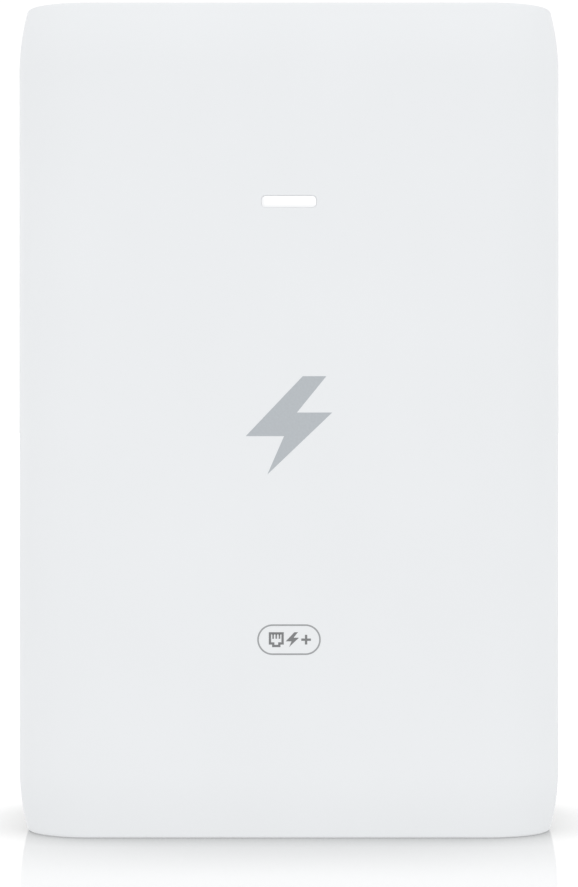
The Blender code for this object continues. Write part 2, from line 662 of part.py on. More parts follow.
def block(name, finish, at, size, lift=0.0, bevel=0.0):
    """A box standing on the board, size along X, up the case and off the board."""
    wide, tall, thick = size
    shape = bmesh.new()
    add_box(shape, (-wide / 2, -tall / 2, lift), (wide / 2, tall / 2, lift + thick))
    part = board_part(name, shape, finish, at)
    if bevel:
        edge = part.modifiers.new("edge", 'BEVEL')
        edge.width = bevel * MM
        edge.segments = 2
    return part


def standing_can(name, finish, at, radius, height, sides=20):
    shape = bmesh.new()
    add_cylinder(shape, (0, 0, 0), (0, 0, height), radius, sides=sides)
    return board_part(name, shape, finish, at, smooth=40)


def disc(name, finish, at, radius, thickness, along):
    """A dipped disc standing on edge; its axis runs along 0 (X) or 1 (up)."""
    reach = Vector((0, 0, 0))
    reach[along] = thickness / 2
    centre = Vector((0, 0, radius + 0.5))
    shape = bmesh.new()
    add_cylinder(shape, centre - reach, centre + reach, radius, sides=18)
    part = board_part(name, shape, finish, at, smooth=40)
    edge = part.modifiers.new("edge", 'BEVEL')
    edge.width = 0.9 * MM
    edge.segments = 2
    edge.limit_method = 'ANGLE'
    edge.angle_limit = math.radians(60)


def make_input_parts():
    standing_can("fuse", "black_plastic", (-13.5, 28.2), 4.2, 7.6)
    disc("varistor", "blue_epoxy", (-6.0, 28.3), 4.5, 4.0, 0)
    disc("thermistor", "dark_green_epoxy", (-24.4, 36.4), 3.5, 3.6, 1)
    block("x_capacitor", "grey_box", (-13.5, 38.3), (13.0, 6.0, 12.0), bevel=0.5)
    block("bridge_rectifier", "black_plastic", (-2.6, 38.6), (6.4, 5.0, 2.6))
    disc("y_capacitor", "blue_epoxy", (7.2, 41.6), 3.4, 3.2, 1)
    shape = bmesh.new()
    add_cylinder(shape, (0, 0, 7.2), (0, 22.0, 7.2), 7.0, sides=28)
    can = board_part("bulk_capacitor", shape, "can_sleeve", (-18.4, 62.3), smooth=40)
    rim = can.modifiers.new("rim", 'BEVEL')
    rim.width = 0.6 * MM
    rim.segments = 2
    rim.limit_method = 'ANGLE'
    rim.angle_limit = math.radians(60)


def make_choke():
    """Common-mode choke: a ring core with two windings."""
    ring_radius, core_radius, coil_radius = 5.6, 2.1, 3.2
    centre = Vector((-16.0, 51.0))
    lift = 4.0
    ring = torus_shape(ring_radius, core_radius, 24, 10)
    bmesh.ops.translate(ring, vec=(0, 0, lift), verts=ring.verts)
    board_part("choke_core", ring, "ferrite", centre, smooth=60)
    for name, start in (("line", 110.0), ("neutral", 290.0)):
        path = bpy.data.curves.new(f"choke_{name}", 'CURVE')
        path.dimensions = '3D'
        path.bevel_depth = coil_radius * MM
        path.bevel_resolution = 3
        path.use_fill_caps = True
        steps = 12
        spline = path.splines.new('POLY')
        spline.points.add(steps)
        for step, spot in enumerate(spline.points):
            turn = math.radians(start + 140.0 * step / steps)
            spot.co = (ring_radius * MM * math.cos(turn), ring_radius * MM * math.sin(turn),
                       lift * MM, 1.0)
        shape = curve_shape(path)
        coil = board_part(f"choke_winding_{name}", shape, "copper_enamel", centre, smooth=60)
        hollow = torus_shape(ring_radius, core_radius + GAP, 24, 10)
        bmesh.ops.translate(hollow, vec=(0, 0, lift), verts=hollow.verts)
        place_like(new_cutter(f"choke_hollow_{name}", hollow), coil, 'DIFFERENCE')


def torus_shape(ring_radius, tube_radius, ring_steps, tube_steps):
    bpy.ops.mesh.primitive_torus_add(major_radius=ring_radius, minor_radius=tube_radius,
                                     major_segments=ring_steps, minor_segments=tube_steps)
    holder = bpy.context.object
    shape = bmesh.new()
    shape.from_mesh(holder.data)
    bpy.data.objects.remove(holder, do_unlink=True)
    return shape


def curve_shape(curve):
    """A curve in metres as a closed shape in millimetres."""
    holder = bpy.data.objects.new(curve.name, curve)
    bpy.context.scene.collection.objects.link(holder)
    graph = bpy.context.evaluated_depsgraph_get()
    mesh = bpy.data.meshes.new_from_object(holder.evaluated_get(graph))
    bpy.data.objects.remove(holder, do_unlink=True)
    shape = bmesh.new()
    shape.from_mesh(mesh)
    bpy.data.meshes.remove(mesh)
    bmesh.ops.remove_doubles(shape, verts=shape.verts, dist=0.001 * MM)
    bmesh.ops.scale(shape, vec=(1 / MM, 1 / MM, 1 / MM), verts=shape.verts)
    return shape


def make_transformer():
    """Ferrite core round a bobbin, with the winding between the bobbin's flanges."""
    centre = (4.0, 55.0)
    core = block("transformer_core", "ferrite", centre, (20.0, 10.0, 18.0), lift=2.0)
    for number, side in enumerate((-1, 1), start=1):
        left, right = sorted((side * 3.2, side * 7.4))
        cut_box(core, f"window_{number}", (left, -5 - THROUGH, 5.5), (right, 5 + THROUGH, 16.5))
    bobbin = block("transformer_bobbin", "black_plastic", centre, (9.0, 12.6, 10.4), lift=5.8)
    for number, low in enumerate((5.8, 15.2), start=1):
        flange = bmesh.new()
        add_box(flange, (-7.1, -9.0, low), (7.1, 9.0, low + 1.0))
        join_shape(bobbin, f"flange_{number}", flange)
    rails = bmesh.new()
    for side in (-1, 1):
        low, high = sorted((side * 6.4, side * 9.0))
        add_box(rails, (-7.1, low, 0.2), (7.1, high, 6.2))
    join_shape(bobbin, "pin_rails", rails)
    cut_box(bobbin, "leg_hole", (-3.5, -5.3, 4.0), (3.5, 5.3, 18.0))
    winding = block("transformer_winding", "yellow_tape", centre, (13.8, 17.4, 7.8), lift=7.1)
    cut_box(winding, "bobbin_hole", (-4.8, -6.6, 6.0), (4.8, 6.6, 16.0))
    block("thermal_pad", "grey_silicone", centre, (16.0, 9.0, 2.0), lift=20.2)


def make_power_stage():
    block("primary_heat_sink", "heat_sink_aluminium", (-9.2, 75.0), (1.5, 17.0, 17.0), lift=0.2)
    block("primary_mosfet", "black_plastic", (-5.9, 77.0), (4.4, 10.0, 14.0), lift=3.0)
    block("pwm_controller", "black_plastic", (5.0, 82.5), (5.0, 4.0, 1.6), bevel=0.2)
    block("optocoupler", "black_plastic", (6.4, 34.8), (4.6, 6.4, 3.4), bevel=0.2)
    block("secondary_heat_sink", "heat_sink_aluminium", (21.4, 57.2), (12.4, 1.5, 17.0), lift=0.2)
    block("output_rectifier", "black_plastic", (21.4, 60.5), (10.0, 4.4, 14.0), lift=3.0)
    standing_can("output_capacitor_1", "can_sleeve", (23.8, 40.2), 4.0, 12.0)
    standing_can("output_capacitor_2", "can_sleeve", (23.8, 49.6), 4.0, 12.0)
    standing_can("output_inductor", "ferrite", (22.0, 71.0), 4.6, 8.0)


def make_data_parts():
    block("data_magnetics", "black_plastic", (4.4, 27.0), (11.2, 6.6, 4.4), bevel=0.3)
    block("poe_magnetics", "black_plastic", (16.2, 27.0), (11.2, 6.6, 4.4), bevel=0.3)
    block("pse_controller", "black_plastic", (14.6, 37.0), (6.0, 6.0, 1.0))
    block("status_led", "clear_lens", (0.0, LIGHT_Z), (2.0, 1.25, 0.8), bevel=0.15)


clear_scene()
parts = new_collection("PoE injector")
cutters = new_collection("Cutters")
board_face = bpy.data.objects.new("board_face", None)
board_face.location = (0, (BOARD_FRONT_Y - GAP) * MM, 0)
board_face.rotation_euler = (math.radians(90), 0, 0)
parts.objects.link(board_face)

make_front_cover()
make_rear_cover()
make_case_screws()
make_port_panel()
make_light_pipe()
make_wall_bracket()
for jack, side in (("data", -1), ("poe", 1)):
    make_jack(jack, JACK_CENTRE_X + side * JACK_PITCH / 2)
make_inlet()
make_board()
make_insulation_sheet()
make_input_parts()
make_choke()
make_transformer()
make_power_stage()
make_data_parts()
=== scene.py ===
"""Looks of the PoE injector: finer shells, printed marks, materials, light and camera.

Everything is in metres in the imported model's frame.  Sizes that belong to the
looks alone are given in millimetres times MM.
"""
import json
import math

import bmesh
import bpy
from mathutils import Matrix, Vector

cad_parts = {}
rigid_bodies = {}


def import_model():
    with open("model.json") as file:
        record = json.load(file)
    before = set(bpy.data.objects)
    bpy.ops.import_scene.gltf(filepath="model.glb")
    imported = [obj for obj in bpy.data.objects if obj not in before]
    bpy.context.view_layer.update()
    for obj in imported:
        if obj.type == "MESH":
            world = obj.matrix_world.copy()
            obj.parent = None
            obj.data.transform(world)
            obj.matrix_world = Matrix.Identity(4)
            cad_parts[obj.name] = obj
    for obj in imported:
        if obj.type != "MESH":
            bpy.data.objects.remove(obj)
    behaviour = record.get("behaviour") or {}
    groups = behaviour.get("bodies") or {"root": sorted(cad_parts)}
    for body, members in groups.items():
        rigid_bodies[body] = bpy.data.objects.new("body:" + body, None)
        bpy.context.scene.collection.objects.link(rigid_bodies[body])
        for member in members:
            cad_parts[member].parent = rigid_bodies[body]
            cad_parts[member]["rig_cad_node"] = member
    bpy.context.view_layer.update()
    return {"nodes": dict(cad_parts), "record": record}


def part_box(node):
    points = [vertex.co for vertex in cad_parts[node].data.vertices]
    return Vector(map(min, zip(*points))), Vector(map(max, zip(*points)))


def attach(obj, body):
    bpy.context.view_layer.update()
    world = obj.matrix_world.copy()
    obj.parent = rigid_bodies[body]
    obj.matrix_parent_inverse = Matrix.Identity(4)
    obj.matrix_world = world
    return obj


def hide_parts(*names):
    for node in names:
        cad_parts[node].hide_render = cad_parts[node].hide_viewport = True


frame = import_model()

MM = 0.001
HAIR = 0.001 * MM               # keeps two faces or rings from falling on one another
SIDEWAYS = Vector((1, 0, 0))

# Case: its box and the board's faces come from the CAD
FRONT_LOW, FRONT_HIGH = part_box("front_cover")
CASE_WIDTH = FRONT_HIGH.x - FRONT_LOW.x
CASE_HEIGHT = FRONT_HIGH.z
FRONT_Y = FRONT_LOW.y
BACK_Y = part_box("rear_cover")[1].y
PARTING_Y = FRONT_Y + 23.0 * MM
PARTING_GAP = 0.2 * MM
WALL = 2.2 * MM
CORNER_RADIUS = 8.7 * MM
CROWN_LENGTH = 7.4 * MM
CROWN_DEPTH = 1.0 * MM
TOP_FILLET = 0.35 * MM
BASE_FILLET = 0.3 * MM
SKIN = 0.012 * MM               # the shells lie this far inside the CAD form
SEAM_ROUND = 0.15 * MM
EDGE_ROUND = 0.25 * MM
CORNER_STEPS = 20
CROWN_STEPS = 12
FILLET_STEPS = 5
FLARE_STEPS = 5
CLEAR = 0.3 * MM                # room between neighbouring pieces
BOARD_FACE_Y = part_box("main_board")[0].y
BOARD_BACK_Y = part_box("main_board")[1].y
LIP_INSET = 1.3 * MM            # the rear shell's lip, inside the front shell's rim
LIP_REACH = 1.4 * MM
LIP_ROOT = 2.0 * MM
FRONT_POST_RADIUS = 2.6 * MM
REAR_POST_RADIUS = 3.1 * MM
REAR_POST_Y = 9.9 * MM

# Back of the case: rails, bracket and screws
BRACKET_LOW, BRACKET_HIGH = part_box("wall_bracket")
RAIL_HALF = BRACKET_HIGH.x + CLEAR
RAIL_FLOOR_Y = BRACKET_LOW.y - CLEAR
RAIL_TOP_Z = BRACKET_HIGH.z + CLEAR
RAIL_LIP_Y = RAIL_FLOOR_Y + 2.0 * MM
RAIL_START_Z = 8.0 * MM
MOUTH_HALF = RAIL_HALF - 3.3 * MM
MOUTH_RADIUS = 0.8 * MM
HOUSING_WALL = 1.7 * MM
RECESS_INNER_Y = RAIL_FLOOR_Y - 1.8 * MM
BRACKET_HOLE_HEIGHTS = (17.5 * MM, 67.5 * MM)
BRACKET_HOLE_RADIUS = 2.2 * MM
COUNTERSINK_RADIUS = 4.2 * MM
WINDOW_X = 11.25 * MM
WINDOW_HALF = 2.25 * MM
WINDOW_LOW_Z, WINDOW_HIGH_Z = 25.0 * MM, 60.0 * MM
TONGUE_HALF = 4.5 * MM
TONGUE_SLIT = 1.0 * MM
TONGUE_LOW_Z, TONGUE_HIGH_Z = 30.0 * MM, 50.0 * MM
SCREW_NAMES = ("case_screw_1", "case_screw_2", "case_screw_3", "case_screw_4")
SCREW_TIP_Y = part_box("case_screw_1")[0].y - 2.0 * MM
SCREW_HEAD_LENGTH = 1.7 * MM
SCREW_HEAD_RADIUS = 2.2 * MM
SCREW_DOME = 78.0               # degrees of the head's round that are modelled
SCREW_HOLE_RADIUS = 1.4 * MM
THREAD_PITCH = 0.8 * MM
COUNTERBORE_RADIUS = 2.45 * MM
COUNTERBORE_FLOOR_Y = 12.2 * MM

# Port end
PANEL_LOW, PANEL_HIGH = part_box("port_panel")
PLATE_TOP_Z = PANEL_LOW.z + 2.0 * MM
SNAP_X = 14.0 * MM
SNAP_RIB_LOW_Z = PLATE_TOP_Z + CLEAR
SNAP_RIB_FACE_Y = FRONT_Y + 3.7 * MM
JACK_SHEET = 0.3 * MM
FINGER_X = 7.65                 # middle of a shield's side wall; this and the next two
FINGER_FRONTS = (-3.6, 0.9)     # are in millimetres
FINGER_WIDTH = 2.3
CONTACT_COUNT = 8
CONTACT_PITCH = 1.02            # this and the bends are in millimetres
CONTACT_HALF = 0.18 * MM
CONTACT_BENDS = ((0.0, 0.0, 0.0), (0.0, -0.35, 1.3), (0.0, -2.35, 7.6), (0.0, -2.2, 8.7))
HINGE_Y, HINGE_Z = 5.05 * MM, 1.9 * MM      # from the middle of the jack's mouth
INLET_PINS = ("inlet_pin_line", "inlet_pin_neutral", "inlet_pin_earth")
PIN_HOLE_RADIUS = 1.33 * MM
WELL_DEPTH = 12.0 * MM
WELL_LOBE_RADIUS = 3.65 * MM
WELL_CORE_RADIUS = 4.3 * MM
WELL_STEPS = 144

# Light slot
LENS_LOW, LENS_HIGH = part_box("light_pipe")
LIGHT_Z = (LENS_LOW.z + LENS_HIGH.z) / 2
SLOT_HALF_WIDTH = 3.15 * MM
SLOT_HALF_HEIGHT = 0.69 * MM
SLOT_RADIUS = 0.5 * MM
SLOT_EDGE = 0.06 * MM
LENS_FIT = 0.012 * MM
LENS_OFFSET = 0.008 * MM        # the lens sits this much low and to the left in its slot
LENS_SINK = 0.07 * MM
LENS_ROUND = 0.05 * MM
LENS_FADE = 0.5 * MM            # width of the rim where painted shade dims the lens's colour and glow
STEM_HALF_WIDTH = 2.0 * MM      # the pipe behind the lens
STEM_HALF_HEIGHT = 0.9 * MM

# Printed marks
INK_THICKNESS = 0.1 * MM
INK_SINK = 0.002 * MM
BOLT_HEIGHT = 11.2 * MM
BOLT_Z = 47.2 * MM
BADGE_Z = 22.757 * MM
BADGE_HALF_WIDTH = 3.62 * MM
BADGE_HALF_HEIGHT = 1.746 * MM
BADGE_LINE = 0.18 * MM
GLYPH_LINE = 0.26 * MM

# Packages and solder feet of the surface-mounted parts
DRAFT = 0.25 * MM
FOOT_THICKNESS = 0.18 * MM
FOOT_RISE = 1.1 * MM
FOOT_BEND = 0.14 * MM

# Windings
COIL_TURNS = 9
CHOKE_WIRE_RADIUS = 0.36 * MM
CHOKE_WIRE_GAP = 0.72 * MM      # from the core's face to the middle of the wire
CHOKE_SPAN = 140.0              # degrees that each winding covers

# Edge rounding of the inner parts that keep their CAD form
EDGE_WIDTH = 0.12 * MM
EDGE_WIDTHS = {"transformer_winding": 0.8 * MM, "thermal_pad": 0.3 * MM,
               "insulation_sheet": 0.03 * MM, "status_led": 0.05 * MM}

# Camera
CAMERA_DISTANCE = 336.0 * MM
CAMERA_LENS = 119.6
CAMERA_SHIFT_Y = -0.02645

# Light
WHITE_LIGHT = (1.0, 1.0, 1.0, 1.0)
WORLD_LEVEL = 0.81
WORLD_FRONT = 0.07              # extra from the front, and as much less from behind
WORLD_TOP = 0.18
WORLD_RIGHT = 0.005
WORLD_HORIZON = 0.45            # extra near the horizon, which the floor mirrors
HORIZON_BAND = (0.36, 0.16)     # steepness at which that extra starts and is full
WORLD_BOUNCE = 0.2              # extra from straight below, as off the pale floor
BOUNCE_BAND = (-0.72, -0.88)
BACKDROP_LEVEL = 1.04           # the backdrop as the camera sees it
OVERHEAD_POWER = 0.5
OVERHEAD_PLACE = (0.0, -0.3, 0.9)
OVERHEAD_SIZE = 0.7
FLOOR_Z = -0.05 * MM
FLOOR_SIZE = 20.0
FLOOR_TONE = 0.45
NEAR_GLOW = 0.355               # light the floor adds near the object and far away; less near it, as painted shade
FAR_GLOW = 0.55
GLOW_RANGE = (80.0 * MM, 600.0 * MM)
CONTACT_REACH = 30.0 * MM       # how far the painted soft shadow round the base spreads
CONTACT_SHARPNESS = 1.6
CREASE_REACH = 7.0 * MM         # reach of the darker painted shadow right beside the base
CREASE_DARKEST = 0.52


# ---- mesh tools

def add_object(name, shape):
    """Turn a shape into an object of the scene."""
    bmesh.ops.recalc_face_normals(shape, faces=shape.faces)
    mesh = bpy.data.meshes.new(name)
    shape.to_mesh(mesh)
    shape.free()
    item = bpy.data.objects.new(name, mesh)
    bpy.context.scene.collection.objects.link(item)
    return item


def new_piece(name, shape, slot, replaces=(), body="case", material=None):
    """A shown piece that rides on a CAD body and may stand for CAD nodes."""
    piece = add_object(name, shape)
    piece.data.materials.append(material or finish_of(slot))
    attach(piece, body)
    if replaces:
        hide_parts(*replaces)
    return piece


def apply_modifiers(piece):
    """Bake the piece's modifiers into its mesh."""
    graph = bpy.context.evaluated_depsgraph_get()
    mesh = bpy.data.meshes.new_from_object(piece.evaluated_get(graph))
    piece.modifiers.clear()
    piece.data = mesh


def combine(piece, operation, *shapes):
    """Apply one kind of boolean with each shape, one after the other."""
    tools = [add_object("tool", shape) for shape in shapes]
    for tool in tools:
        modifier = piece.modifiers.new("tool", 'BOOLEAN')
        modifier.operation = operation
        modifier.solver = 'EXACT'
        modifier.object = tool
    apply_modifiers(piece)
    for tool in tools:
        mesh = tool.data
        bpy.data.objects.remove(tool, do_unlink=True)
        bpy.data.meshes.remove(mesh)


def cut(piece, *shapes):
    """Cut shapes out of a piece."""
    combine(piece, 'DIFFERENCE', *shapes)


def join(piece, *shapes):
    """Join shapes to a piece."""
    combine(piece, 'UNION', *shapes)


def soften(piece, width, angle=40.0, segments=3):
    """Round the sharp edges of a cut piece and shade it smooth."""
    weld = piece.modifiers.new("weld", 'WELD')
    weld.merge_threshold = 0.002 * MM
    flat = piece.modifiers.new("flat", 'DECIMATE')
    flat.decimate_type = 'DISSOLVE'
    flat.angle_limit = math.radians(0.5)
    edge = piece.modifiers.new("edge", 'BEVEL')
    edge.width = width
    edge.segments = segments
    edge.limit_method = 'ANGLE'
    edge.angle_limit = math.radians(angle)
    edge.use_clamp_overlap = True
    edge.miter_outer = 'MITER_ARC'
    smooth(piece)


def smooth(piece, angle=32.0):
    """Smooth shading that keeps sharp edges and flat faces clean."""
    if "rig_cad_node" not in piece:
        apply_modifiers(piece)
    piece.data.shade_smooth()
    piece.data.set_sharp_from_angle(angle=math.radians(angle))
    normals = piece.modifiers.new("normals", 'WEIGHTED_NORMAL')
    normals.keep_sharp = True
    normals.weight = 80


def measure(node):
    """Lowest corner, highest corner and middle of a CAD node."""
    low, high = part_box(node)
    return low, high, (low + high) / 2


def arc(degrees, steps):
    """Angles from 0 to a number of degrees."""
    return [math.radians(degrees * step / steps) for step in range(steps + 1)]


def row(count, pitch):
    """Evenly spaced places round zero."""
    return [(number - (count - 1) / 2) * pitch for number in range(count)]


def box_shape(low, high, axis=None, radius=0.0, steps=6):
    """A box between two corners, with its edges along one axis rounded."""
    shape = bmesh.new()
    middle = (Vector(low) + Vector(high)) / 2
    size = Vector(high) - Vector(low)
    matrix = Matrix.Translation(middle) @ Matrix.Diagonal((*size, 1.0))
    bmesh.ops.create_cube(shape, size=1.0, matrix=matrix)
    if radius:
        along = [edge for edge in shape.edges
                 if abs((edge.verts[1].co - edge.verts[0].co).normalized()[axis]) > 0.99]
        bmesh.ops.bevel(shape, geom=along, offset=radius, segments=steps,
                        profile=0.5, affect='EDGES')
    return shape


def cylinder_shape(start, end, radius, sides=48):
    """A round bar between two points."""
    start, end = Vector(start), Vector(end)
    run = end - start
    turn = Vector((0, 0, 1)).rotation_difference(run).to_matrix().to_4x4()
    shape = bmesh.new()
    bmesh.ops.create_cone(shape, cap_ends=True, segments=sides, radius1=radius,
                          radius2=radius, depth=run.length,
                          matrix=Matrix.Translation((start + end) / 2) @ turn)
    return shape


def loft_shape(rings, closed=False):
    """A skin over rings of equally many points, capped or joined up at its ends."""
    shape = bmesh.new()
    rows = [[shape.verts.new(point) for point in ring] for ring in rings]
    count = len(rows[0])
    nexts = rows[1:] + rows[:1] if closed else rows[1:]
    for low, high in zip(rows, nexts):
        for index in range(count):
            after = (index + 1) % count
            shape.faces.new((low[index], low[after], high[after], high[index]))
    if not closed:
        shape.faces.new(rows[0])
        shape.faces.new(rows[-1])
    return shape


def stacked_shape(centre, axis, levels, closed=False):
    """A skin over outlines across an axis; levels give (place along it, outline)."""
    first, second = [number for number in range(3) if number != axis]
    rings = []
    for along, outline in levels:
        ring = []
        for across, up in outline:
            point = list(centre)
            point[axis] += along
            point[first] += across
            point[second] += up
            ring.append(point)
        rings.append(ring)
    return loft_shape(rings, closed)


def circle_outline(radius, sides):
    """Points of a circle round the origin."""
    turns = [math.tau * step / sides for step in range(sides)]
    return [(radius * math.cos(turn), radius * math.sin(turn)) for turn in turns]


def turned_shape(centre, axis, profile, sides=32):
    """A solid of revolution; the profile gives (place along the axis, radius)."""
    return stacked_shape(centre, axis, [(along, circle_outline(radius, sides))
                                        for along, radius in profile])


def turned_profile(length, radius, near, far=(), towards=-1):
    """Profile up or down an axis from (distance, inset) pairs in millimetres.

    The near pairs count from the start and the far ones from the end.
    """
    points = [(along * MM, radius - inset * MM) for along, inset in near]
    points += [(length - along * MM, radius - inset * MM) for along, inset in far]
    return [(towards * along, size) for along, size in points]


def rounded_outline(half_width, half_height, radius, steps):
    """Points of a rounded rectangle round the origin."""
    points = []
    for quarter in range(4):
        across = half_width - radius
        up = half_height - radius
        centre_x = across if quarter in (0, 3) else -across
        centre_y = up if quarter in (0, 1) else -up
        for step in range(steps + 1):
            turn = math.radians(90.0 * (quarter + step / steps))
            points.append((centre_x + radius * math.cos(turn),
                           centre_y + radius * math.sin(turn)))
    return points


def round_levels(surface, edge, steps, inwards):
    """(place, growth) of rings that round a rim, from the surface inwards."""
    return [(surface + inwards * edge * (1 - math.cos(turn)), edge * (1 - math.sin(turn)))
            for turn in arc(90.0, steps)]


def flare_levels(surface, inner, edge):
    """(place, growth) of the rings of a cutter that opens in a round at the surface."""
    inwards = 1.0 if inner > surface else -1.0
    outside = (surface - inwards * 2.0 * MM, edge)
    return [outside, *round_levels(surface, edge, FLARE_STEPS, inwards), (inner, 0.0)]


def flared_cutter(centre, half_width, half_height, radius, surface, inner, edge, steps=8):
    """A cutter along Y whose walls round outwards where they meet the surface."""
    levels = [(y, rounded_outline(half_width + grow, half_height + grow, radius + grow, steps))
              for y, grow in flare_levels(surface, inner, edge)]
    return stacked_shape((centre[0], 0, centre[1]), 1, levels)


def rounded_route(corners, reach, steps=5):
    """Points along a bent route; the rounding of a corner starts this reach before it."""
    points = [Vector(corners[0])]
    for before, corner, after in zip(corners, corners[1:], corners[2:]):
        corner = Vector(corner)
        enter = corner + (Vector(before) - corner).normalized() * reach
        leave = corner + (Vector(after) - corner).normalized() * reach
        for step in range(steps + 1):
            share = step / steps
            points.append(enter.lerp(corner, share).lerp(corner.lerp(leave, share), share))
    points.append(Vector(corners[-1]))
    return points


def swept_shape(route, section, across=None, closed=False):
    """A section along a route, which may close on itself.

    Across is the direction of the section's first axis at the start of the route.
    """
    rings = []
    last = len(route) - 1
    for index, point in enumerate(route):
        ahead = route[(index + 1) % len(route)] if closed else route[min(index + 1, last)]
        behind = route[index - 1] if closed else route[max(index - 1, 0)]
        run = (ahead - behind).normalized()
        across = across or run.orthogonal()
        across = (across - run * across.dot(run)).normalized()
        beside = run.cross(across)
        rings.append([point + across * x + beside * y for x, y in section])
    return loft_shape(rings, closed)


def merge(shapes):
    """Several closed shapes as one."""
    merged = bmesh.new()
    for shape in shapes:
        mesh = bpy.data.meshes.new("step")
        shape.to_mesh(mesh)
        shape.free()
        merged.from_mesh(mesh)
        bpy.data.meshes.remove(mesh)
    return merged


# ---- node tools: a node's owner is the material, or the world, whose tree it is in

def new_material(name, colour, roughness, metallic=0.0, specular=0.5):
    """A plain material, to which patterns are added."""
    material = bpy.data.materials.new(name)
    material.use_nodes = True
    shader = shader_of(material)
    shader.inputs["Base Color"].default_value = (*colour, 1.0)
    shader.inputs["Roughness"].default_value = roughness
    shader.inputs["Metallic"].default_value = metallic
    shader.inputs["Specular IOR Level"].default_value = specular
    return material


def shader_of(material):
    """The node that gives the material its surface."""
    return material.node_tree.nodes["Principled BSDF"]


def add_node(owner, kind, **settings):
    """A new node with the given settings."""
    node = owner.node_tree.nodes.new(kind)
    for key, value in settings.items():
        setattr(node, key, value)
    return node


def wire(owner, source, target):
    """Link an output socket to an input socket."""
    owner.node_tree.links.new(source, target)


def coordinates(owner, kind):
    """One of the coordinate sockets, such as Object or Generated."""
    return add_node(owner, "ShaderNodeTexCoord").outputs[kind]


def separate(owner, vector):
    """The X, Y and Z sockets of a vector."""
    split = add_node(owner, "ShaderNodeSeparateXYZ")
    wire(owner, vector, split.inputs[0])
    return split.outputs


def calculate(owner, operation, *values):
    """One sum with numbers or sockets."""
    node = add_node(owner, "ShaderNodeMath", operation=operation)
    for socket, value in zip(node.inputs, values):
        if isinstance(value, (int, float)):
            socket.default_value = value
        else:
            wire(owner, value, socket)
    return node.outputs[0]


def spread(owner, value, low, high, start=0.3, end=0.7):
    """Stretch a value so that start gives low and end gives high."""
    steps = add_node(owner, "ShaderNodeMapRange")
    for socket, number in zip(("From Min", "From Max", "To Min", "To Max"),
                              (start, end, low, high)):
        steps.inputs[socket].default_value = number
    wire(owner, value, steps.inputs["Value"])
    return steps.outputs["Result"]


def place_of(material, size, stretch):
    """Coordinates that follow the piece; size is in millimetres, stretch for each axis."""
    scale = add_node(material, "ShaderNodeMapping")
    scale.inputs["Scale"].default_value = [1 / (size * MM * length) for length in stretch]
    wire(material, coordinates(material, "Object"), scale.inputs["Vector"])
    return scale.outputs["Vector"]


def grain(material, size, detail=2.0, stretch=(1, 1, 1)):
    """Soft random spots about size (in millimetres) across, as a value from 0 to 1."""
    noise = add_node(material, "ShaderNodeTexNoise")
    noise.inputs["Scale"].default_value = 1.0
    noise.inputs["Detail"].default_value = detail
    wire(material, place_of(material, size, stretch), noise.inputs["Vector"])
    return noise.outputs["Fac"]


def cells(material, size, stretch=(1, 1, 1), feature='F1'):
    """Distance to scattered cell middles, or to cell edges, about size apart."""
    pattern = add_node(material, "ShaderNodeTexVoronoi", feature=feature)
    pattern.inputs["Scale"].default_value = 1.0
    wire(material, place_of(material, size, stretch), pattern.inputs["Vector"])
    return pattern.outputs["Distance"]


def stripes(material, size, axis, waver=0.0):
    """Even bands across one axis, size apart, as a value from 0 to 1."""
    wave = add_node(material, "ShaderNodeTexWave", bands_direction="XYZ"[axis])
    wave.inputs["Scale"].default_value = math.pi / 10
    wave.inputs["Distortion"].default_value = waver
    wire(material, place_of(material, size, (1, 1, 1)), wave.inputs["Vector"])
    return wave.outputs["Fac"]


def mix_colour(material, factor, first, second):
    """A colour between two colours or colour sockets."""
    mix = add_node(material, "ShaderNodeMix", data_type='RGBA')
    wire(material, factor, mix.inputs["Factor"])
    for socket, colour in zip((mix.inputs[6], mix.inputs[7]), (first, second)):
        if isinstance(colour, tuple):
            socket.default_value = (*colour, 1.0)
        else:
            wire(material, colour, socket)
    return mix.outputs[2]


def shade(colour, amount):
    """A colour made darker or lighter by a share of itself."""
    return tuple(min(channel * amount, 1.0) for channel in colour)


def tint(material, value, colour, darkest, lightest):
    """A colour that goes from a darker to a lighter shade with the value."""
    return mix_colour(material, spread(material, value, 0.0, 1.0),
                      shade(colour, darkest), shade(colour, lightest))


def set_colour(material, colour):
    """Colour from a socket."""
    wire(material, colour, shader_of(material).inputs["Base Color"])


def set_roughness(material, value, low, high):
    """Roughness from low to high with the value."""
    wire(material, spread(material, value, low, high), shader_of(material).inputs["Roughness"])


def set_glow(material, strength):
    """White light given off, as strong as the value."""
    shader = shader_of(material)
    shader.inputs["Emission Color"].default_value = WHITE_LIGHT
    wire(material, strength, shader.inputs["Emission Strength"])


def add_bump(material, value, height):
    """Raise the surface by height (in millimetres) where the value is 1."""
    bump = add_node(material, "ShaderNodeBump")
    bump.inputs["Distance"].default_value = height * MM
    wire(material, value, bump.inputs["Height"])
    normal = shader_of(material).inputs["Normal"]
    if normal.is_linked:
        wire(material, normal.links[0].from_socket, bump.inputs["Normal"])
    wire(material, bump.outputs["Normal"], normal)


# ---- finishes

WHITE = (0.805, 0.822, 0.838)


def moulded(name, colour, roughness, grain_size, grain_height, contrast=0.03, specular=0.4):
    """Moulded plastic: fine spark-eroded texture, slow tone changes, faint rub marks."""
    material = new_material(name, colour, roughness, specular=specular)
    tone = grain(material, 18, 3.0)
    set_colour(material, tint(material, tone, colour, 1 - contrast, 1 + contrast))
    rubbed = grain(material, 2.5, 4.0, (1, 1, 4))
    set_roughness(material, rubbed, roughness - 0.05, roughness + 0.05)
    add_bump(material, grain(material, grain_size, 1.0), grain_height)
    return material


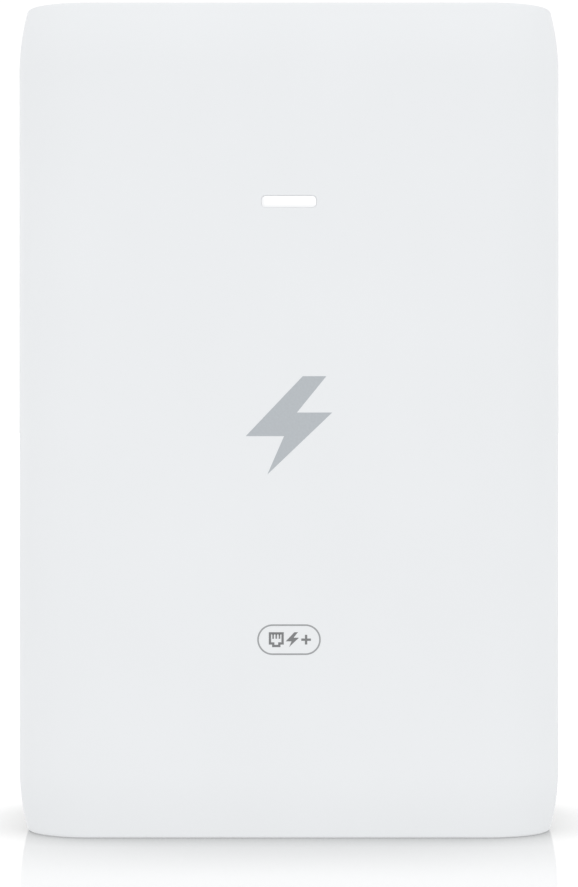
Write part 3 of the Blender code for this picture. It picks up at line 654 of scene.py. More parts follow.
def sheet_metal(name, colour, roughness, axis):
    """Drawn or rolled metal: fine streaks along one axis, small scratches, dull patches."""
    material = new_material(name, colour, roughness, metallic=1.0)
    along = [1.0, 1.0, 1.0]
    along[axis] = 24.0
    streaks = grain(material, 0.12, 3.0, along)
    dull = grain(material, 4, 4.0)
    set_colour(material, mix_colour(material, spread(material, streaks, 0.0, 0.5),
                                    tint(material, dull, colour, 0.88, 1.06),
                                    shade(colour, 0.93)))
    rough = calculate(material, 'MULTIPLY', spread(material, streaks, 0.85, 1.15),
                      spread(material, dull, roughness * 0.85, roughness * 1.3))
    wire(material, rough, shader_of(material).inputs["Roughness"])
    add_bump(material, streaks, 0.003)
    return material


def spotted(name, colour, spots, shades, rough, height, rough_spots=None, **settings):
    """A material whose shade and relief follow soft spots, given as (size, detail, stretch).

    The roughness follows them too, unless a size of other spots is given for it.
    """
    material = new_material(name, colour, sum(rough) / 2, **settings)
    value = grain(material, *spots)
    set_colour(material, tint(material, value, colour, *shades))
    set_roughness(material, grain(material, rough_spots) if rough_spots else value, *rough)
    if height:
        add_bump(material, value, height)
    return material


def dipped(name, colour, roughness):
    """Dipped epoxy: glossy, slightly lumpy, with darker thin spots."""
    rough = (roughness - 0.08, roughness + 0.10)
    return spotted(name, colour, (2.0,), (0.8, 1.15), rough, 0.08, 0.8)


def printed_ink(name, colour):
    """Pad-printed ink: slightly uneven cover and a softer sheen than the case."""
    return spotted(name, colour, (0.25, 3.0), (0.97, 1.03), (0.45, 0.55), 0.001, 1.5,
                   specular=0.3)


def white_case():
    return moulded("white case plastic", WHITE, 0.46, 0.14, 0.002, 0.006, 0.35)


def white_panel():
    return moulded("panel plastic", (0.70, 0.715, 0.73), 0.5, 0.2, 0.004, 0.012)


def black_plastic():
    """Glass-filled black plastic with cloudy, paler areas."""
    return moulded("black plastic", (0.020, 0.020, 0.022), 0.42, 0.16, 0.004, 0.25)


def grey_box():
    return moulded("grey box plastic", (0.44, 0.46, 0.47), 0.45, 0.25, 0.006, 0.05)


def plated_steel():
    return sheet_metal("nickel plated sheet", (0.62, 0.62, 0.60), 0.27, 2)


def screw_steel():
    return sheet_metal("zinc plated screw", (0.52, 0.52, 0.54), 0.34, 1)


def gold_plate():
    return sheet_metal("gold plate", (0.88, 0.64, 0.27), 0.38, 2)


def pin_nickel():
    return sheet_metal("nickel plated brass", (0.72, 0.71, 0.67), 0.23, 2)


def heat_sink_aluminium():
    return sheet_metal("aluminium plate", (0.74, 0.75, 0.76), 0.36, 2)


def blue_epoxy():
    return dipped("blue epoxy", (0.045, 0.150, 0.44), 0.28)


def dark_green_epoxy():
    return dipped("dark green epoxy", (0.028, 0.115, 0.085), 0.40)


def clear_lens():
    """Frosted lens with a faint glow, and painted shade that dims its colour and glow towards
    its lower and left rims.
    """
    material = new_material("lit lens", (0.95, 0.95, 0.95), 0.42)
    place = separate(material, coordinates(material, "Object"))
    low, left = LIGHT_Z - SLOT_HALF_HEIGHT, -SLOT_HALF_WIDTH
    # painted shade: a mask that falls to 0 at the lower and left rims
    glow_with_painted_shade = calculate(material, 'MULTIPLY',
                     spread(material, place["Z"], 0.0, 1.0, low, low + LENS_FADE),
                     spread(material, place["X"], 0.0, 1.0, left, left + LENS_FADE))
    frost = grain(material, 0.12)
    lit = mix_colour(material, spread(material, frost, 0.0, 1.0),
                     (0.93, 0.94, 0.95), (0.97, 0.975, 0.98))
    # painted shade: the colour is darker at those rims
    set_colour(material, mix_colour(material, glow_with_painted_shade, (0.86, 0.87, 0.88), lit))
    set_roughness(material, frost, 0.36, 0.48)
    set_glow(material, spread(material, glow_with_painted_shade, 0.0, 0.07, 0.0, 1.0))
    add_bump(material, frost, 0.002)
    return material


def board_laminate():
    """Green solder mask: copper pours show as paler ground, with pale vias and pads."""
    mask, ground = (0.014, 0.120, 0.052), (0.030, 0.190, 0.085)
    material = new_material("solder mask", mask, 0.35)
    pours = cells(material, 7, (1, 100, 1.4), 'DISTANCE_TO_EDGE')
    tracks = stripes(material, 1.3, 0, waver=2.0)
    vias = cells(material, 3.1, (1, 100, 1))
    areas = mix_colour(material, spread(material, pours, 0.0, 1.0, 0.03, 0.06), mask, ground)
    lines = mix_colour(material, spread(material, tracks, 0.0, 0.35, 0.80, 0.86), areas, mask)
    set_colour(material, mix_colour(material, spread(material, vias, 1.0, 0.0, 0.07, 0.09),
                                    lines, (0.62, 0.63, 0.60)))
    set_roughness(material, grain(material, 1.0), 0.30, 0.42)
    add_bump(material, spread(material, pours, 0.0, 1.0, 0.03, 0.06), 0.03)
    add_bump(material, grain(material, 0.5), 0.004)
    return material


def clear_film():
    """Thin amber polyester film with faint waves."""
    material = spotted("polyester film", (0.72, 0.66, 0.42), (9, 3.0), (0.93, 1.05),
                       (0.16, 0.30), 0.25, 3)
    shader_of(material).inputs["Transmission Weight"].default_value = 0.5
    return material


def can_sleeve():
    """Dark shrink sleeve: glossy, with faint wrinkles along the can."""
    return spotted("shrink sleeve", (0.030, 0.034, 0.060), (1.5, 2.0, (1, 1, 3)), (0.8, 1.3),
                   (0.20, 0.34), 0.03)


def grey_silicone():
    """Soft gap filler with a fine dusty texture."""
    return spotted("gap filler", (0.40, 0.42, 0.45), (0.4, 5.0), (0.9, 1.1), (0.72, 0.88),
                   0.03, specular=0.25)


def copper_enamel():
    """Enamelled wire: glossy varnish, darker and smoother where it has run."""
    material = spotted("enamelled copper", (0.58, 0.21, 0.07), (0.9, 3.0), (0.75, 1.15),
                       (0.18, 0.34), 0.0, metallic=0.9)
    add_bump(material, grain(material, 0.3), 0.006)
    return material


def ferrite():
    """Sintered and ground ferrite: sooty grey with tiny pits."""
    material = spotted("ferrite", (0.055, 0.055, 0.060), (1.6, 5.0), (0.75, 1.45),
                       (0.50, 0.68), 0.0)
    pits = cells(material, 0.35)
    add_bump(material, spread(material, pits, 0.0, 1.0, 0.05, 0.25), 0.012)
    return material


def yellow_tape():
    """Overlapping turns of yellow polyester tape."""
    colour = (0.83, 0.58, 0.07)
    material = new_material("yellow tape", colour, 0.3)
    turns = stripes(material, 2.6, 1)
    set_colour(material, mix_colour(material, spread(material, turns, 0.0, 1.0, 0.0, 0.12),
                                    shade(colour, 0.72), colour))
    set_roughness(material, grain(material, 2), 0.24, 0.38)
    add_bump(material, turns, 0.05)
    add_bump(material, grain(material, 1.2, 3.0), 0.03)
    return material


# The makers are named after the slots they fill
MAKERS = {maker.__name__: maker for maker in (
    white_case, white_panel, clear_lens, black_plastic, plated_steel, screw_steel,
    gold_plate, pin_nickel, board_laminate, clear_film, copper_enamel, ferrite, yellow_tape,
    blue_epoxy, dark_green_epoxy, grey_box, can_sleeve, heat_sink_aluminium, grey_silicone)}
made_finishes = {}


def finish_of(slot):
    """The material of a slot, made once."""
    if slot not in made_finishes:
        made_finishes[slot] = MAKERS[slot]()
    return made_finishes[slot]


# ---- case form

def crown_inset(depth, fillet):
    """How far the case's side is drawn in, this deep below its nearest end."""
    depth = max(depth, 0.0)
    inset = 0.0
    if depth < CROWN_LENGTH:
        radius = (CROWN_LENGTH ** 2 + CROWN_DEPTH ** 2) / (2 * CROWN_DEPTH)
        inset = radius - math.sqrt(radius ** 2 - (CROWN_LENGTH - depth) ** 2)
    if depth < fillet:
        inset += fillet - math.sqrt(fillet ** 2 - (fillet - depth) ** 2)
    return inset


def end_depths(fillet):
    """Depths in from an end at which the crowned form has a ring."""
    depths = []
    if fillet:
        depths = [fillet * (1 - math.cos(turn)) for turn in arc(90.0, FILLET_STEPS)[:-1]]
    for step in range(CROWN_STEPS + 1):
        depths.append(fillet + (CROWN_LENGTH - fillet) * step / CROWN_STEPS)
    return depths


def crowned_shape(offset, low_z, high_z, corner_steps=CORNER_STEPS, rounded=False):
    """The case's outer form moved in by offset, between two heights."""
    base_fillet, top_fillet = (BASE_FILLET, TOP_FILLET) if rounded else (0.0, 0.0)
    half_width = CASE_WIDTH / 2 - offset
    half_depth = (BACK_Y - FRONT_Y) / 2 - offset
    middle_y = (FRONT_Y + BACK_Y) / 2
    radius = CORNER_RADIUS - offset
    inner = end_depths(base_fillet) + [CASE_HEIGHT - depth for depth in end_depths(top_fillet)]
    heights = {low_z, high_z}
    heights.update(height for height in inner if low_z + HAIR < height < high_z - HAIR)
    levels = []
    for height in sorted(heights):
        if height < CASE_HEIGHT / 2:
            inset = crown_inset(height, base_fillet)
        else:
            inset = crown_inset(CASE_HEIGHT - height, top_fillet)
        levels.append((height, rounded_outline(half_width - inset, half_depth - inset,
                                               radius - inset, corner_steps)))
    return stacked_shape((0, middle_y, 0), 2, levels)


def cut_across(shape, y, keep_front, edge_round=0.0):
    """Cut a shape at one depth, close it and round the new rim."""
    everything = shape.verts[:] + shape.edges[:] + shape.faces[:]
    bmesh.ops.bisect_plane(shape, geom=everything, plane_co=(0, y, 0), plane_no=(0, 1, 0),
                           clear_inner=not keep_front, clear_outer=keep_front)
    rim = [edge for edge in shape.edges if edge.is_boundary]
    bmesh.ops.holes_fill(shape, edges=rim, sides=0)
    if edge_round:
        bmesh.ops.bevel(shape, geom=rim, offset=edge_round, segments=3,
                        profile=0.5, affect='EDGES')
    return shape


def case_cavity(back_y):
    """The room inside the walls, open below, from the front wall to a depth."""
    return cut_across(crowned_shape(WALL, -1.0 * MM, CASE_HEIGHT - WALL, 8), back_y, True)


def screw_places():
    """Middle of each case screw, as (x, z)."""
    middles = [measure(name)[2] for name in SCREW_NAMES]
    return [(middle.x, middle.z) for middle in middles]


def screw_bars(start_y, end_y, radius, sides=48):
    """A round bar along each case screw's line."""
    return [cylinder_shape((x, start_y, z), (x, end_y, z), radius, sides)
            for x, z in screw_places()]


def make_front_shell():
    """Front cover with screw posts, the light slot and ribs for the panel's hooks."""
    outer = crowned_shape(SKIN, 0.0, CASE_HEIGHT, rounded=True)
    cut_across(outer, PARTING_Y, True, SEAM_ROUND)
    shell = new_piece("front_shell", outer, "white_case", ["front_cover"])
    slot = flared_cutter((0, LIGHT_Z), SLOT_HALF_WIDTH, SLOT_HALF_HEIGHT, SLOT_RADIUS,
                         FRONT_Y + SKIN, FRONT_Y + WALL + 1.0 * MM, SLOT_EDGE)
    cut(shell, case_cavity(PARTING_Y + 1.0 * MM), slot)
    posts = screw_bars(FRONT_Y + WALL - 0.1 * MM, BOARD_FACE_Y - CLEAR, FRONT_POST_RADIUS)
    ribs = [box_shape((side * SNAP_X - 2.5 * MM, FRONT_Y + 1.5 * MM, SNAP_RIB_LOW_Z),
                      (side * SNAP_X + 2.5 * MM, SNAP_RIB_FACE_Y, SNAP_RIB_LOW_Z + 1.2 * MM))
            for side in (-1, 1)]
    join(shell, *posts, *ribs)
    cut(shell, *screw_bars(SCREW_TIP_Y, BOARD_FACE_Y, SCREW_HOLE_RADIUS, 24))
    smooth(shell)


def make_rear_shell():
    """Rear cover with its lip, the rails for the bracket and the screws' counterbores."""
    outer = crowned_shape(SKIN, 0.0, CASE_HEIGHT, rounded=True)
    cut_across(outer, PARTING_Y + PARTING_GAP, False, SEAM_ROUND)
    shell = new_piece("rear_shell", outer, "white_case", ["rear_cover"])
    lip = cut_across(crowned_shape(LIP_INSET, LIP_INSET, CASE_HEIGHT - LIP_INSET, 12),
                     PARTING_Y + LIP_ROOT, True)
    join(shell, cut_across(lip, PARTING_Y - LIP_REACH, False))
    cut(shell, case_cavity(BACK_Y - WALL - HAIR))
    outside = RAIL_HALF + HOUSING_WALL
    housing = box_shape((-outside, RECESS_INNER_Y, 0.3 * MM),
                        (outside, BACK_Y - 0.9 * MM, RAIL_TOP_Z + HOUSING_WALL))
    sill = cut_across(crowned_shape(1.1 * MM, 0.2 * MM, PLATE_TOP_Z, 10),
                      RECESS_INNER_Y, False)
    posts = screw_bars(REAR_POST_Y, BACK_Y - WALL + 0.2 * MM, REAR_POST_RADIUS)
    join(shell, housing, sill, *posts)
    rails = box_shape((-RAIL_HALF, RAIL_FLOOR_Y, -1.0 * MM),
                      (RAIL_HALF, RAIL_LIP_Y, RAIL_TOP_Z))
    mouth_half = (RAIL_TOP_Z + 4.0 * MM) / 2
    mouth = flared_cutter((0, RAIL_TOP_Z - mouth_half), MOUTH_HALF, mouth_half,
                          MOUTH_RADIUS, BACK_Y - SKIN, RAIL_LIP_Y - 0.5 * MM, EDGE_ROUND)
    lead_in = flared_cutter((0, RAIL_START_Z - 5.0 * MM), RAIL_HALF, 5.0 * MM, MOUTH_RADIUS,
                            BACK_Y - SKIN, RAIL_LIP_Y - 0.7 * MM, EDGE_ROUND)
    bores = [flared_cutter(place, COUNTERBORE_RADIUS, COUNTERBORE_RADIUS, COUNTERBORE_RADIUS,
                           BACK_Y - SKIN, COUNTERBORE_FLOOR_Y, EDGE_ROUND, 12)
             for place in screw_places()]
    holes = screw_bars(8.0 * MM, COUNTERBORE_FLOOR_Y + 0.5 * MM, SCREW_HOLE_RADIUS, 24)
    cut(shell, rails, mouth, lead_in, *bores, *holes)
    smooth(shell)


# ---- bracket and screws

def make_bracket():
    """Slide-on plate with rail flanges, countersunk wall holes and a spring tongue."""
    low, high = BRACKET_LOW, BRACKET_HIGH
    before, behind = low.y - 1.0 * MM, high.y + 1.0 * MM

    def opening(middle, half, bottom, top, radius=0.0):
        """Cutter through the plate, its edges along the depth rounded."""
        return box_shape((middle - half, before, bottom), (middle + half, behind, top),
                         1, radius)

    flange = box_shape(low, (high.x, RAIL_LIP_Y - CLEAR, high.z), 1, 2.0 * MM, 10)
    bracket = new_piece("bracket_plate", flange, "white_case", ["wall_bracket"], "bracket")
    pad_half = MOUTH_HALF - CLEAR
    pad = box_shape((-pad_half, low.y + 0.4 * MM, low.z + 1.5 * MM),
                    (pad_half, high.y - SKIN, high.z), 1, 1.5 * MM, 10)
    join(bracket, pad)
    hole = [(before, COUNTERSINK_RADIUS), (low.y, COUNTERSINK_RADIUS),
            (low.y + 2.0 * MM, BRACKET_HOLE_RADIUS), (behind, BRACKET_HOLE_RADIUS)]
    cutters = [turned_shape((0, 0, height), 1, hole, 48) for height in BRACKET_HOLE_HEIGHTS]
    for side in (-1, 1):
        cutters.append(opening(side * WINDOW_X, WINDOW_HALF, WINDOW_LOW_Z, WINDOW_HIGH_Z,
                               0.6 * MM))
        cutters.append(opening(side * TONGUE_HALF, TONGUE_SLIT / 2,
                               TONGUE_LOW_Z - TONGUE_SLIT, TONGUE_HIGH_Z + 2.0 * MM,
                               0.45 * MM))
    cutters.append(opening(0.0, TONGUE_HALF, TONGUE_LOW_Z - TONGUE_SLIT, TONGUE_LOW_Z))
    tongue_back = low.y + 1.8 * MM
    cutters.append(box_shape((-TONGUE_HALF, tongue_back, TONGUE_LOW_Z),
                             (TONGUE_HALF, behind, TONGUE_HIGH_Z)))
    cut(bracket, *cutters)
    soften(bracket, 0.16 * MM)


def screw_profile(tip, seat):
    """Point, thread, flat underside and domed head, from the tip's depth to the seat's."""
    profile = [(tip, 0.1 * MM), (tip + 1.2 * MM, 0.9 * MM)]
    for number in range(int((seat - tip - 2.0 * MM) / THREAD_PITCH)):
        start = tip + 1.3 * MM + number * THREAD_PITCH
        profile.append((start, 0.92 * MM))
        profile.append((start + THREAD_PITCH / 2, 1.2 * MM))
    profile.append((seat, 1.1 * MM))
    profile.append((seat + HAIR, SCREW_HEAD_RADIUS - 0.05 * MM))
    rim = 0.3 * MM
    for turn in arc(SCREW_DOME, 8):
        rise = math.sin(turn) / math.sin(math.radians(SCREW_DOME))
        profile.append((seat + rim + (SCREW_HEAD_LENGTH - rim) * rise,
                        SCREW_HEAD_RADIUS * math.cos(turn) ** 0.6))
    return profile


def make_case_screws():
    """Domed screws with a tapered cross recess and a threaded shank."""
    for name, (x, z) in zip(SCREW_NAMES, screw_places()):
        low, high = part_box(name)
        profile = screw_profile(low.y, high.y - SCREW_HEAD_LENGTH)
        screw = new_piece(f"{name}_body", turned_shape((x, 0, z), 1, profile, 40),
                          "screw_steel", [name])
        recess = [(high.y + out * MM, plus_outline(size * MM, line * MM))
                  for out, size, line in ((0.5, 2.8, 0.68), (0, 2.6, 0.62), (-1.1, 1.3, 0.42))]
        cut(screw, stacked_shape((x, 0, z), 1, recess))
        smooth(screw)


# ---- light pipe

def make_lens():
    """Frosted lens with a softly rounded rim, and the pipe behind it."""
    back = FRONT_Y + WALL + 0.4 * MM
    levels = []
    for y, shrink in [*round_levels(FRONT_Y + LENS_SINK, LENS_ROUND, 4, 1.0), (back, 0.0)]:
        inset = LENS_FIT + shrink
        levels.append((y, rounded_outline(SLOT_HALF_WIDTH - inset, SLOT_HALF_HEIGHT - inset,
                                          SLOT_RADIUS - inset, 8)))
    shape = stacked_shape((-LENS_OFFSET, 0, LIGHT_Z - LENS_OFFSET), 1, levels)
    lens = new_piece("status_lens", shape, "clear_lens", ["light_pipe"])
    flange = box_shape((LENS_LOW.x, back - 0.1 * MM, LENS_LOW.z),
                       (LENS_HIGH.x, back + 0.9 * MM, LENS_HIGH.z), 1, 0.4 * MM)
    stem = box_shape((-STEM_HALF_WIDTH, back, LIGHT_Z - STEM_HALF_HEIGHT),
                     (STEM_HALF_WIDTH, LENS_HIGH.y, LIGHT_Z + STEM_HALF_HEIGHT), 1, 0.3 * MM)
    join(lens, flange, stem)
    smooth(lens)


# ---- marks

def make_mark(name, ink, outline, height_z, hole=None, across=0.0):
    """A thin printed area just behind the level of the case's front."""
    front, back = FRONT_Y + INK_SINK, FRONT_Y + INK_THICKNESS
    levels = [(front, outline), (back, outline)]
    if hole:
        levels += [(back, hole), (front, hole)]
    shape = stacked_shape((across, 0, height_z), 1, levels, closed=bool(hole))
    new_piece(name, shape, "white_case", material=ink)


def bolt_outline(height):
    """A plain lightning bolt round the origin."""
    corners = ((0.14, 0.50), (-0.44, -0.11), (-0.05, -0.11), (-0.22, -0.50),
               (0.44, 0.13), (0.08, 0.13), (0.38, 0.50))
    return [(x * height, z * height) for x, z in corners]


def plus_outline(size, line):
    """A plus sign round the origin."""
    far, near = size / 2, line / 2
    return [(far, near), (near, near), (near, far), (-near, far), (-near, near),
            (-far, near), (-far, -near), (-near, -near), (-near, -far), (near, -far),
            (near, -near), (far, -near)]


def jack_outline(width, inset):
    """A modular jack seen from its mouth, round the origin."""
    side = width / 2 - inset
    step = width * 0.17
    notch = width * 0.28 - inset
    return [(side, side), (-side, side), (-side, step - side), (-notch, step - side),
            (-notch, -side), (notch, -side), (notch, step - side), (side, step - side)]


def make_marks():
    """A plain bolt, and a badge with a jack, a small bolt and a plus sign."""
    grey = printed_ink("grey ink", (0.455, 0.485, 0.512))
    pale = printed_ink("pale ink", (0.34, 0.35, 0.36))
    dark = printed_ink("dark ink", (0.205, 0.21, 0.215))
    make_mark("bolt_mark", grey, bolt_outline(BOLT_HEIGHT), BOLT_Z)
    pills = [rounded_outline(BADGE_HALF_WIDTH - inset, BADGE_HALF_HEIGHT - inset,
                             BADGE_HALF_HEIGHT - inset, 20) for inset in (0.0, BADGE_LINE)]
    make_mark("badge_outline", pale, pills[0], BADGE_Z, pills[1])
    jack_x, jack_width = -1.45 * MM, 1.7 * MM
    make_mark("badge_jack", dark, jack_outline(jack_width, 0.0), BADGE_Z,
              jack_outline(jack_width, GLYPH_LINE), jack_x)
    half, top, bottom = 0.09 * MM, 0.65 * MM, 0.10 * MM
    tick = [(half, top), (-half, top), (-half, bottom), (half, bottom)]
    for number, across in enumerate(row(3, 0.36 * MM), 1):
        make_mark(f"badge_contact_{number}", dark, tick, BADGE_Z, across=jack_x + across)
    make_mark("badge_bolt", dark, bolt_outline(1.7 * MM), BADGE_Z, across=0.38 * MM)
    make_mark("badge_plus", dark, plus_outline(1.1 * MM, GLYPH_LINE), BADGE_Z,
              across=1.95 * MM)


# ---- sockets

def make_port_panel():
    """End plate round the sockets, with two snap hooks behind the front wall."""
    plate = cut_across(crowned_shape(WALL + CLEAR, PANEL_LOW.z, PLATE_TOP_Z, 14),
                       PANEL_HIGH.y, True)
    panel = new_piece("socket_plate", plate, "white_panel", ["port_panel"])
    data_low, poe_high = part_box("data_jack_shield")[0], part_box("poe_jack_shield")[1]
    inlet_low, inlet_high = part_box("inlet_body")
    clear = Vector((CLEAR, CLEAR, 1.0 * MM))
    jacks = box_shape(data_low - clear, poe_high + clear, 2, 0.5 * MM)
    inlet = box_shape(inlet_low - clear, inlet_high + clear, 2, 1.8 * MM)
    cut(panel, jacks, inlet)
    hook_y = SNAP_RIB_FACE_Y + CLEAR
    hooks = []
    for side in (-1, 1):
        left, right = side * SNAP_X - 2.0 * MM, side * SNAP_X + 2.0 * MM
        hooks.append(box_shape((left, hook_y, PLATE_TOP_Z - 0.5 * MM),
                               (right, hook_y + 1.0 * MM, PANEL_HIGH.z)))
        hooks.append(box_shape((left, SNAP_RIB_FACE_Y - 0.8 * MM, SNAP_RIB_LOW_Z + 1.5 * MM),
                               (right, hook_y + 0.5 * MM, PANEL_HIGH.z)))
    join(panel, *hooks)
    soften(panel, 0.15 * MM)


def jack_box(prefix, left, front, bottom, right, back, top, radius=0.0):
    """A box in millimetres from the middle of a jack's mouth, upright edges rounded."""
    low, _, centre = measure(f"{prefix}_jack_shield")
    return box_shape((centre.x + left * MM, centre.y + front * MM, low.z + bottom * MM),
                     (centre.x + right * MM, centre.y + back * MM, low.z + top * MM),
                     2, radius * MM)


def seam_shape(start, end, width, depth):
    """A narrow straight groove cutter across a face that looks down."""
    run = end - start
    shape = box_shape((-width / 2, 0, -depth), (width / 2, run.length, depth))
    turn = Matrix.Rotation(math.atan2(-run.x, run.y), 4, 'Z')
    shape.transform(Matrix.Translation(start) @ turn)
    return shape


def make_shield(prefix):
    """Sheet box, mitred round its mouth, with two spring fingers cut in each side."""
    low, high, centre = measure(f"{prefix}_jack_shield")
    shield = new_piece(f"{prefix}_shield", box_shape(low, high, 2, 0.45 * MM, 5),
                       "plated_steel", [f"{prefix}_jack_shield"])
    sheet = Vector((JACK_SHEET,) * 3)
    hollow = box_shape(low + sheet, high - sheet, 2, 0.2 * MM)
    mouth = jack_box(prefix, -6.35, -5.3, -1.0, 6.35, 4.8, 0.4, 0.4)
    seams = []
    slits = []
    for side in (-1, 1):
        for inner_y, outer_y in ((-5.1, -6.4), (4.6, 6.4)):
            start = Vector((centre.x + side * 6.2 * MM, centre.y + inner_y * MM, low.z))
            end = Vector((centre.x + side * 7.6 * MM, centre.y + outer_y * MM, low.z))
            seams.append(seam_shape(start, end, 0.07 * MM, 0.12 * MM))
        left, right = side * FINGER_X - 0.4, side * FINGER_X + 0.4
        for front in FINGER_FRONTS:
            for slit in (front, front + FINGER_WIDTH):
                slits.append(jack_box(prefix, left, slit, 3.0, right, slit + 0.3, 8.0))
            slits.append(jack_box(prefix, left, front, 2.8, right, front + FINGER_WIDTH + 0.3,
                                  3.1))
    cut(shield, hollow, mouth, *seams)
    cut(shield, *slits)
    soften(shield, 0.05 * MM, segments=2)


def make_insert(prefix):
    """Moulded insert: the plug's room, the latch's two steps and a comb for the contacts."""
    low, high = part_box(f"{prefix}_jack_insert")
    insert = new_piece(f"{prefix}_insert", box_shape(low, high, 2, 0.25 * MM, 4),
                       "black_plastic", [f"{prefix}_jack_insert"])
    plug_room = jack_box(prefix, -5.95, -2.6, -1.0, 5.95, 4.4, 14.4, 0.3)
    latch_step = jack_box(prefix, -3.2, -3.8, -2.0, 3.2, -2.5, 13.4, 0.25)
    latch_groove = jack_box(prefix, -2.0, -5.0, -3.0, 2.0, -3.7, 12.4, 0.25)
    contact_room = jack_box(prefix, -4.9, 4.3, 1.05, 4.9, 5.65, 13.6)
    cut(insert, plug_room, latch_step, latch_groove, contact_room)
    teeth = [jack_box(prefix, across - 0.18, 4.2, 8.4, across + 0.18, 5.8, 13.8)
             for across in row(CONTACT_COUNT - 1, CONTACT_PITCH)]
    join(insert, *teeth)
    soften(insert, 0.1 * MM, segments=2)


def make_contacts(prefix):
    """Eight bent spring wires held by a moulded bar that turns about its middle."""
    low, _, centre = measure(f"{prefix}_jack_shield")
    hinge = Vector((centre.x, centre.y + HINGE_Y, low.z + HINGE_Z))
    body = f"{prefix}_contacts"
    section = rounded_outline(CONTACT_HALF, CONTACT_HALF, 0.06 * MM, 2)
    wires = []
    for across in row(CONTACT_COUNT, CONTACT_PITCH):
        route = [hinge + (SIDEWAYS * across + point) * MM
                 for point in rounded_route(CONTACT_BENDS, 0.5)]
        wires.append(swept_shape(route, section, SIDEWAYS))
    smooth(new_piece(f"{prefix}_contact_wires", merge(wires), "gold_plate",
                     [f"{prefix}_jack_contacts"], body))
    bar_half = Vector((4.5, 0.3, 0.5)) * MM
    bar = box_shape(hinge - bar_half, hinge + bar_half, 0, 0.2 * MM)
    soften(new_piece(f"{prefix}_contact_bar", bar, "black_plastic", body=body), 0.05 * MM)


def clover_outline(centre, lobes, radius, core):
    """Outline round a centre that takes in a round lobe at each place and a round core."""
    points = []
    for step in range(WELL_STEPS):
        turn = math.tau * step / WELL_STEPS
        reach = core
        for lobe in lobes:
            offset = lobe - centre
            along = offset.x * math.cos(turn) + offset.y * math.sin(turn)
            room = radius ** 2 - (offset.length_squared - along ** 2)
            if room > 0.0:
                reach = max(reach, along + math.sqrt(room))
        points.append((centre.x + reach * math.cos(turn), centre.y + reach * math.sin(turn)))
    return points


def make_inlet():
    """Rounded body with a clover-leaf well, and three pins with domed tips."""
    low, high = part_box("inlet_body")
    body = new_piece("inlet_housing", box_shape(low, high, 2, 1.5 * MM, 10),
                     "black_plastic", ["inlet_body"])
    lobes = [measure(pin)[2].to_2d() for pin in INLET_PINS]
    centre = sum(lobes, Vector((0, 0))) / len(lobes)
    well_top = low.z + WELL_DEPTH
    well = [(z, clover_outline(centre, lobes, WELL_LOBE_RADIUS + grow, WELL_CORE_RADIUS + grow))
            for z, grow in flare_levels(low.z, well_top, EDGE_ROUND)]
    holes = [cylinder_shape((x, y, well_top - 1.0 * MM), (x, y, high.z + 1.0 * MM),
                            PIN_HOLE_RADIUS, 32) for x, y in lobes]
    cut(body, stacked_shape((0, 0, 0), 2, well), *holes)
    soften(body, 0.22 * MM, angle=85.0)
    for name, place in zip(INLET_PINS, lobes):
        low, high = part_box(name)
        radius = (high.x - low.x) / 2
        profile = [(low.z + radius * (1 - math.cos(turn)),
                    max(radius * math.sin(turn), 0.02 * MM)) for turn in arc(90.0, 8)]
        profile.append((high.z - 0.2 * MM, radius))
        profile.append((high.z, radius - 0.2 * MM))
        smooth(new_piece(f"{name}_turned", turned_shape((*place, 0), 2, profile, 40),
                         "pin_nickel", [name]))


# ---- inside

def make_leads(node, spots, radius=0.3, sink=0.3):
    """Tinned leads through the board with a solder cone behind it.

    Spots are (across, up) in millimetres from the node's middle; the leads start
    sink above the node's underside.
    """
    _, high, centre = measure(node)
    profile = [(high.y - sink * MM, radius * MM), (BOARD_BACK_Y, radius * MM)]
    for behind, size in ((0.001, 0.85), (0.12, 0.6), (0.3, radius), (0.42, 0.2)):
        profile.append((BOARD_BACK_Y + behind * MM, size * MM))
    shapes = [turned_shape((centre.x + across * MM, 0, centre.z + up * MM), 1, profile, 12)
              for across, up in spots]
    smooth(new_piece(f"{node}_leads", merge(shapes), "pin_nickel"))


def make_feet(node, count, pitch, along, reach, width=0.45):
    """Bent solder feet on two opposite sides of a surface-mounted part.

    The feet stand in a row along one axis and reach out of the other two sides.
    """
    low, high, centre = measure(node)
    out = 2 - along
    side_of = (high[out] - low[out]) / 2
    half = FOOT_THICKNESS / 2
    rise = min(FOOT_RISE, (high.y - low.y) * 0.6)
    place = Matrix.Translation((centre.x, BOARD_FACE_Y, centre.z))
    if along == 2:
        place = place @ Matrix.Rotation(math.radians(90.0), 4, 'Y')
    knee = side_of + reach * 0.4 * MM
    section = rounded_outline(width / 2 * MM, half, 0.03 * MM, 2)
    shapes = []
    for side in (-1, 1):
        for across in row(count, pitch * MM):
            corners = [(across, -rise, side * (side_of - 0.1 * MM)),
                       (across, -rise, side * knee), (across, -half, side * knee),
                       (across, -half, side * (side_of + reach * MM))]
            foot = swept_shape(rounded_route(corners, FOOT_BEND, 3), section, SIDEWAYS)
            foot.transform(place)
            shapes.append(foot)
    smooth(new_piece(f"{node}_feet", merge(shapes), "pin_nickel"))


def make_package(node):
    """Moulded body that narrows towards both faces, with a first-pin dimple."""
    low, high, centre = measure(node)
    half_x, half_z = (high.x - low.x) / 2, (high.z - low.z) / 2
    levels = []
    for share, inset in ((0.0, DRAFT), (0.42, 0.0), (0.58, 0.0), (1.0, DRAFT)):
        outline = rounded_outline(half_x - inset, half_z - inset, 0.15 * MM, 3)
        levels.append((high.y - (high.y - low.y) * share, outline))
    shape = stacked_shape((centre.x, 0, centre.z), 1, levels)
    body = new_piece(f"{node}_body", shape, "black_plastic", [node])
    inwards = DRAFT + 0.9 * MM
    x, z = centre.x - half_x + inwards, centre.z + half_z - inwards
    dimple = cylinder_shape((x, low.y - 0.2 * MM, z), (x, low.y + 0.12 * MM, z), 0.4 * MM, 24)
    cut(body, dimple)
    soften(body, 0.06 * MM, angle=20.0, segments=2)


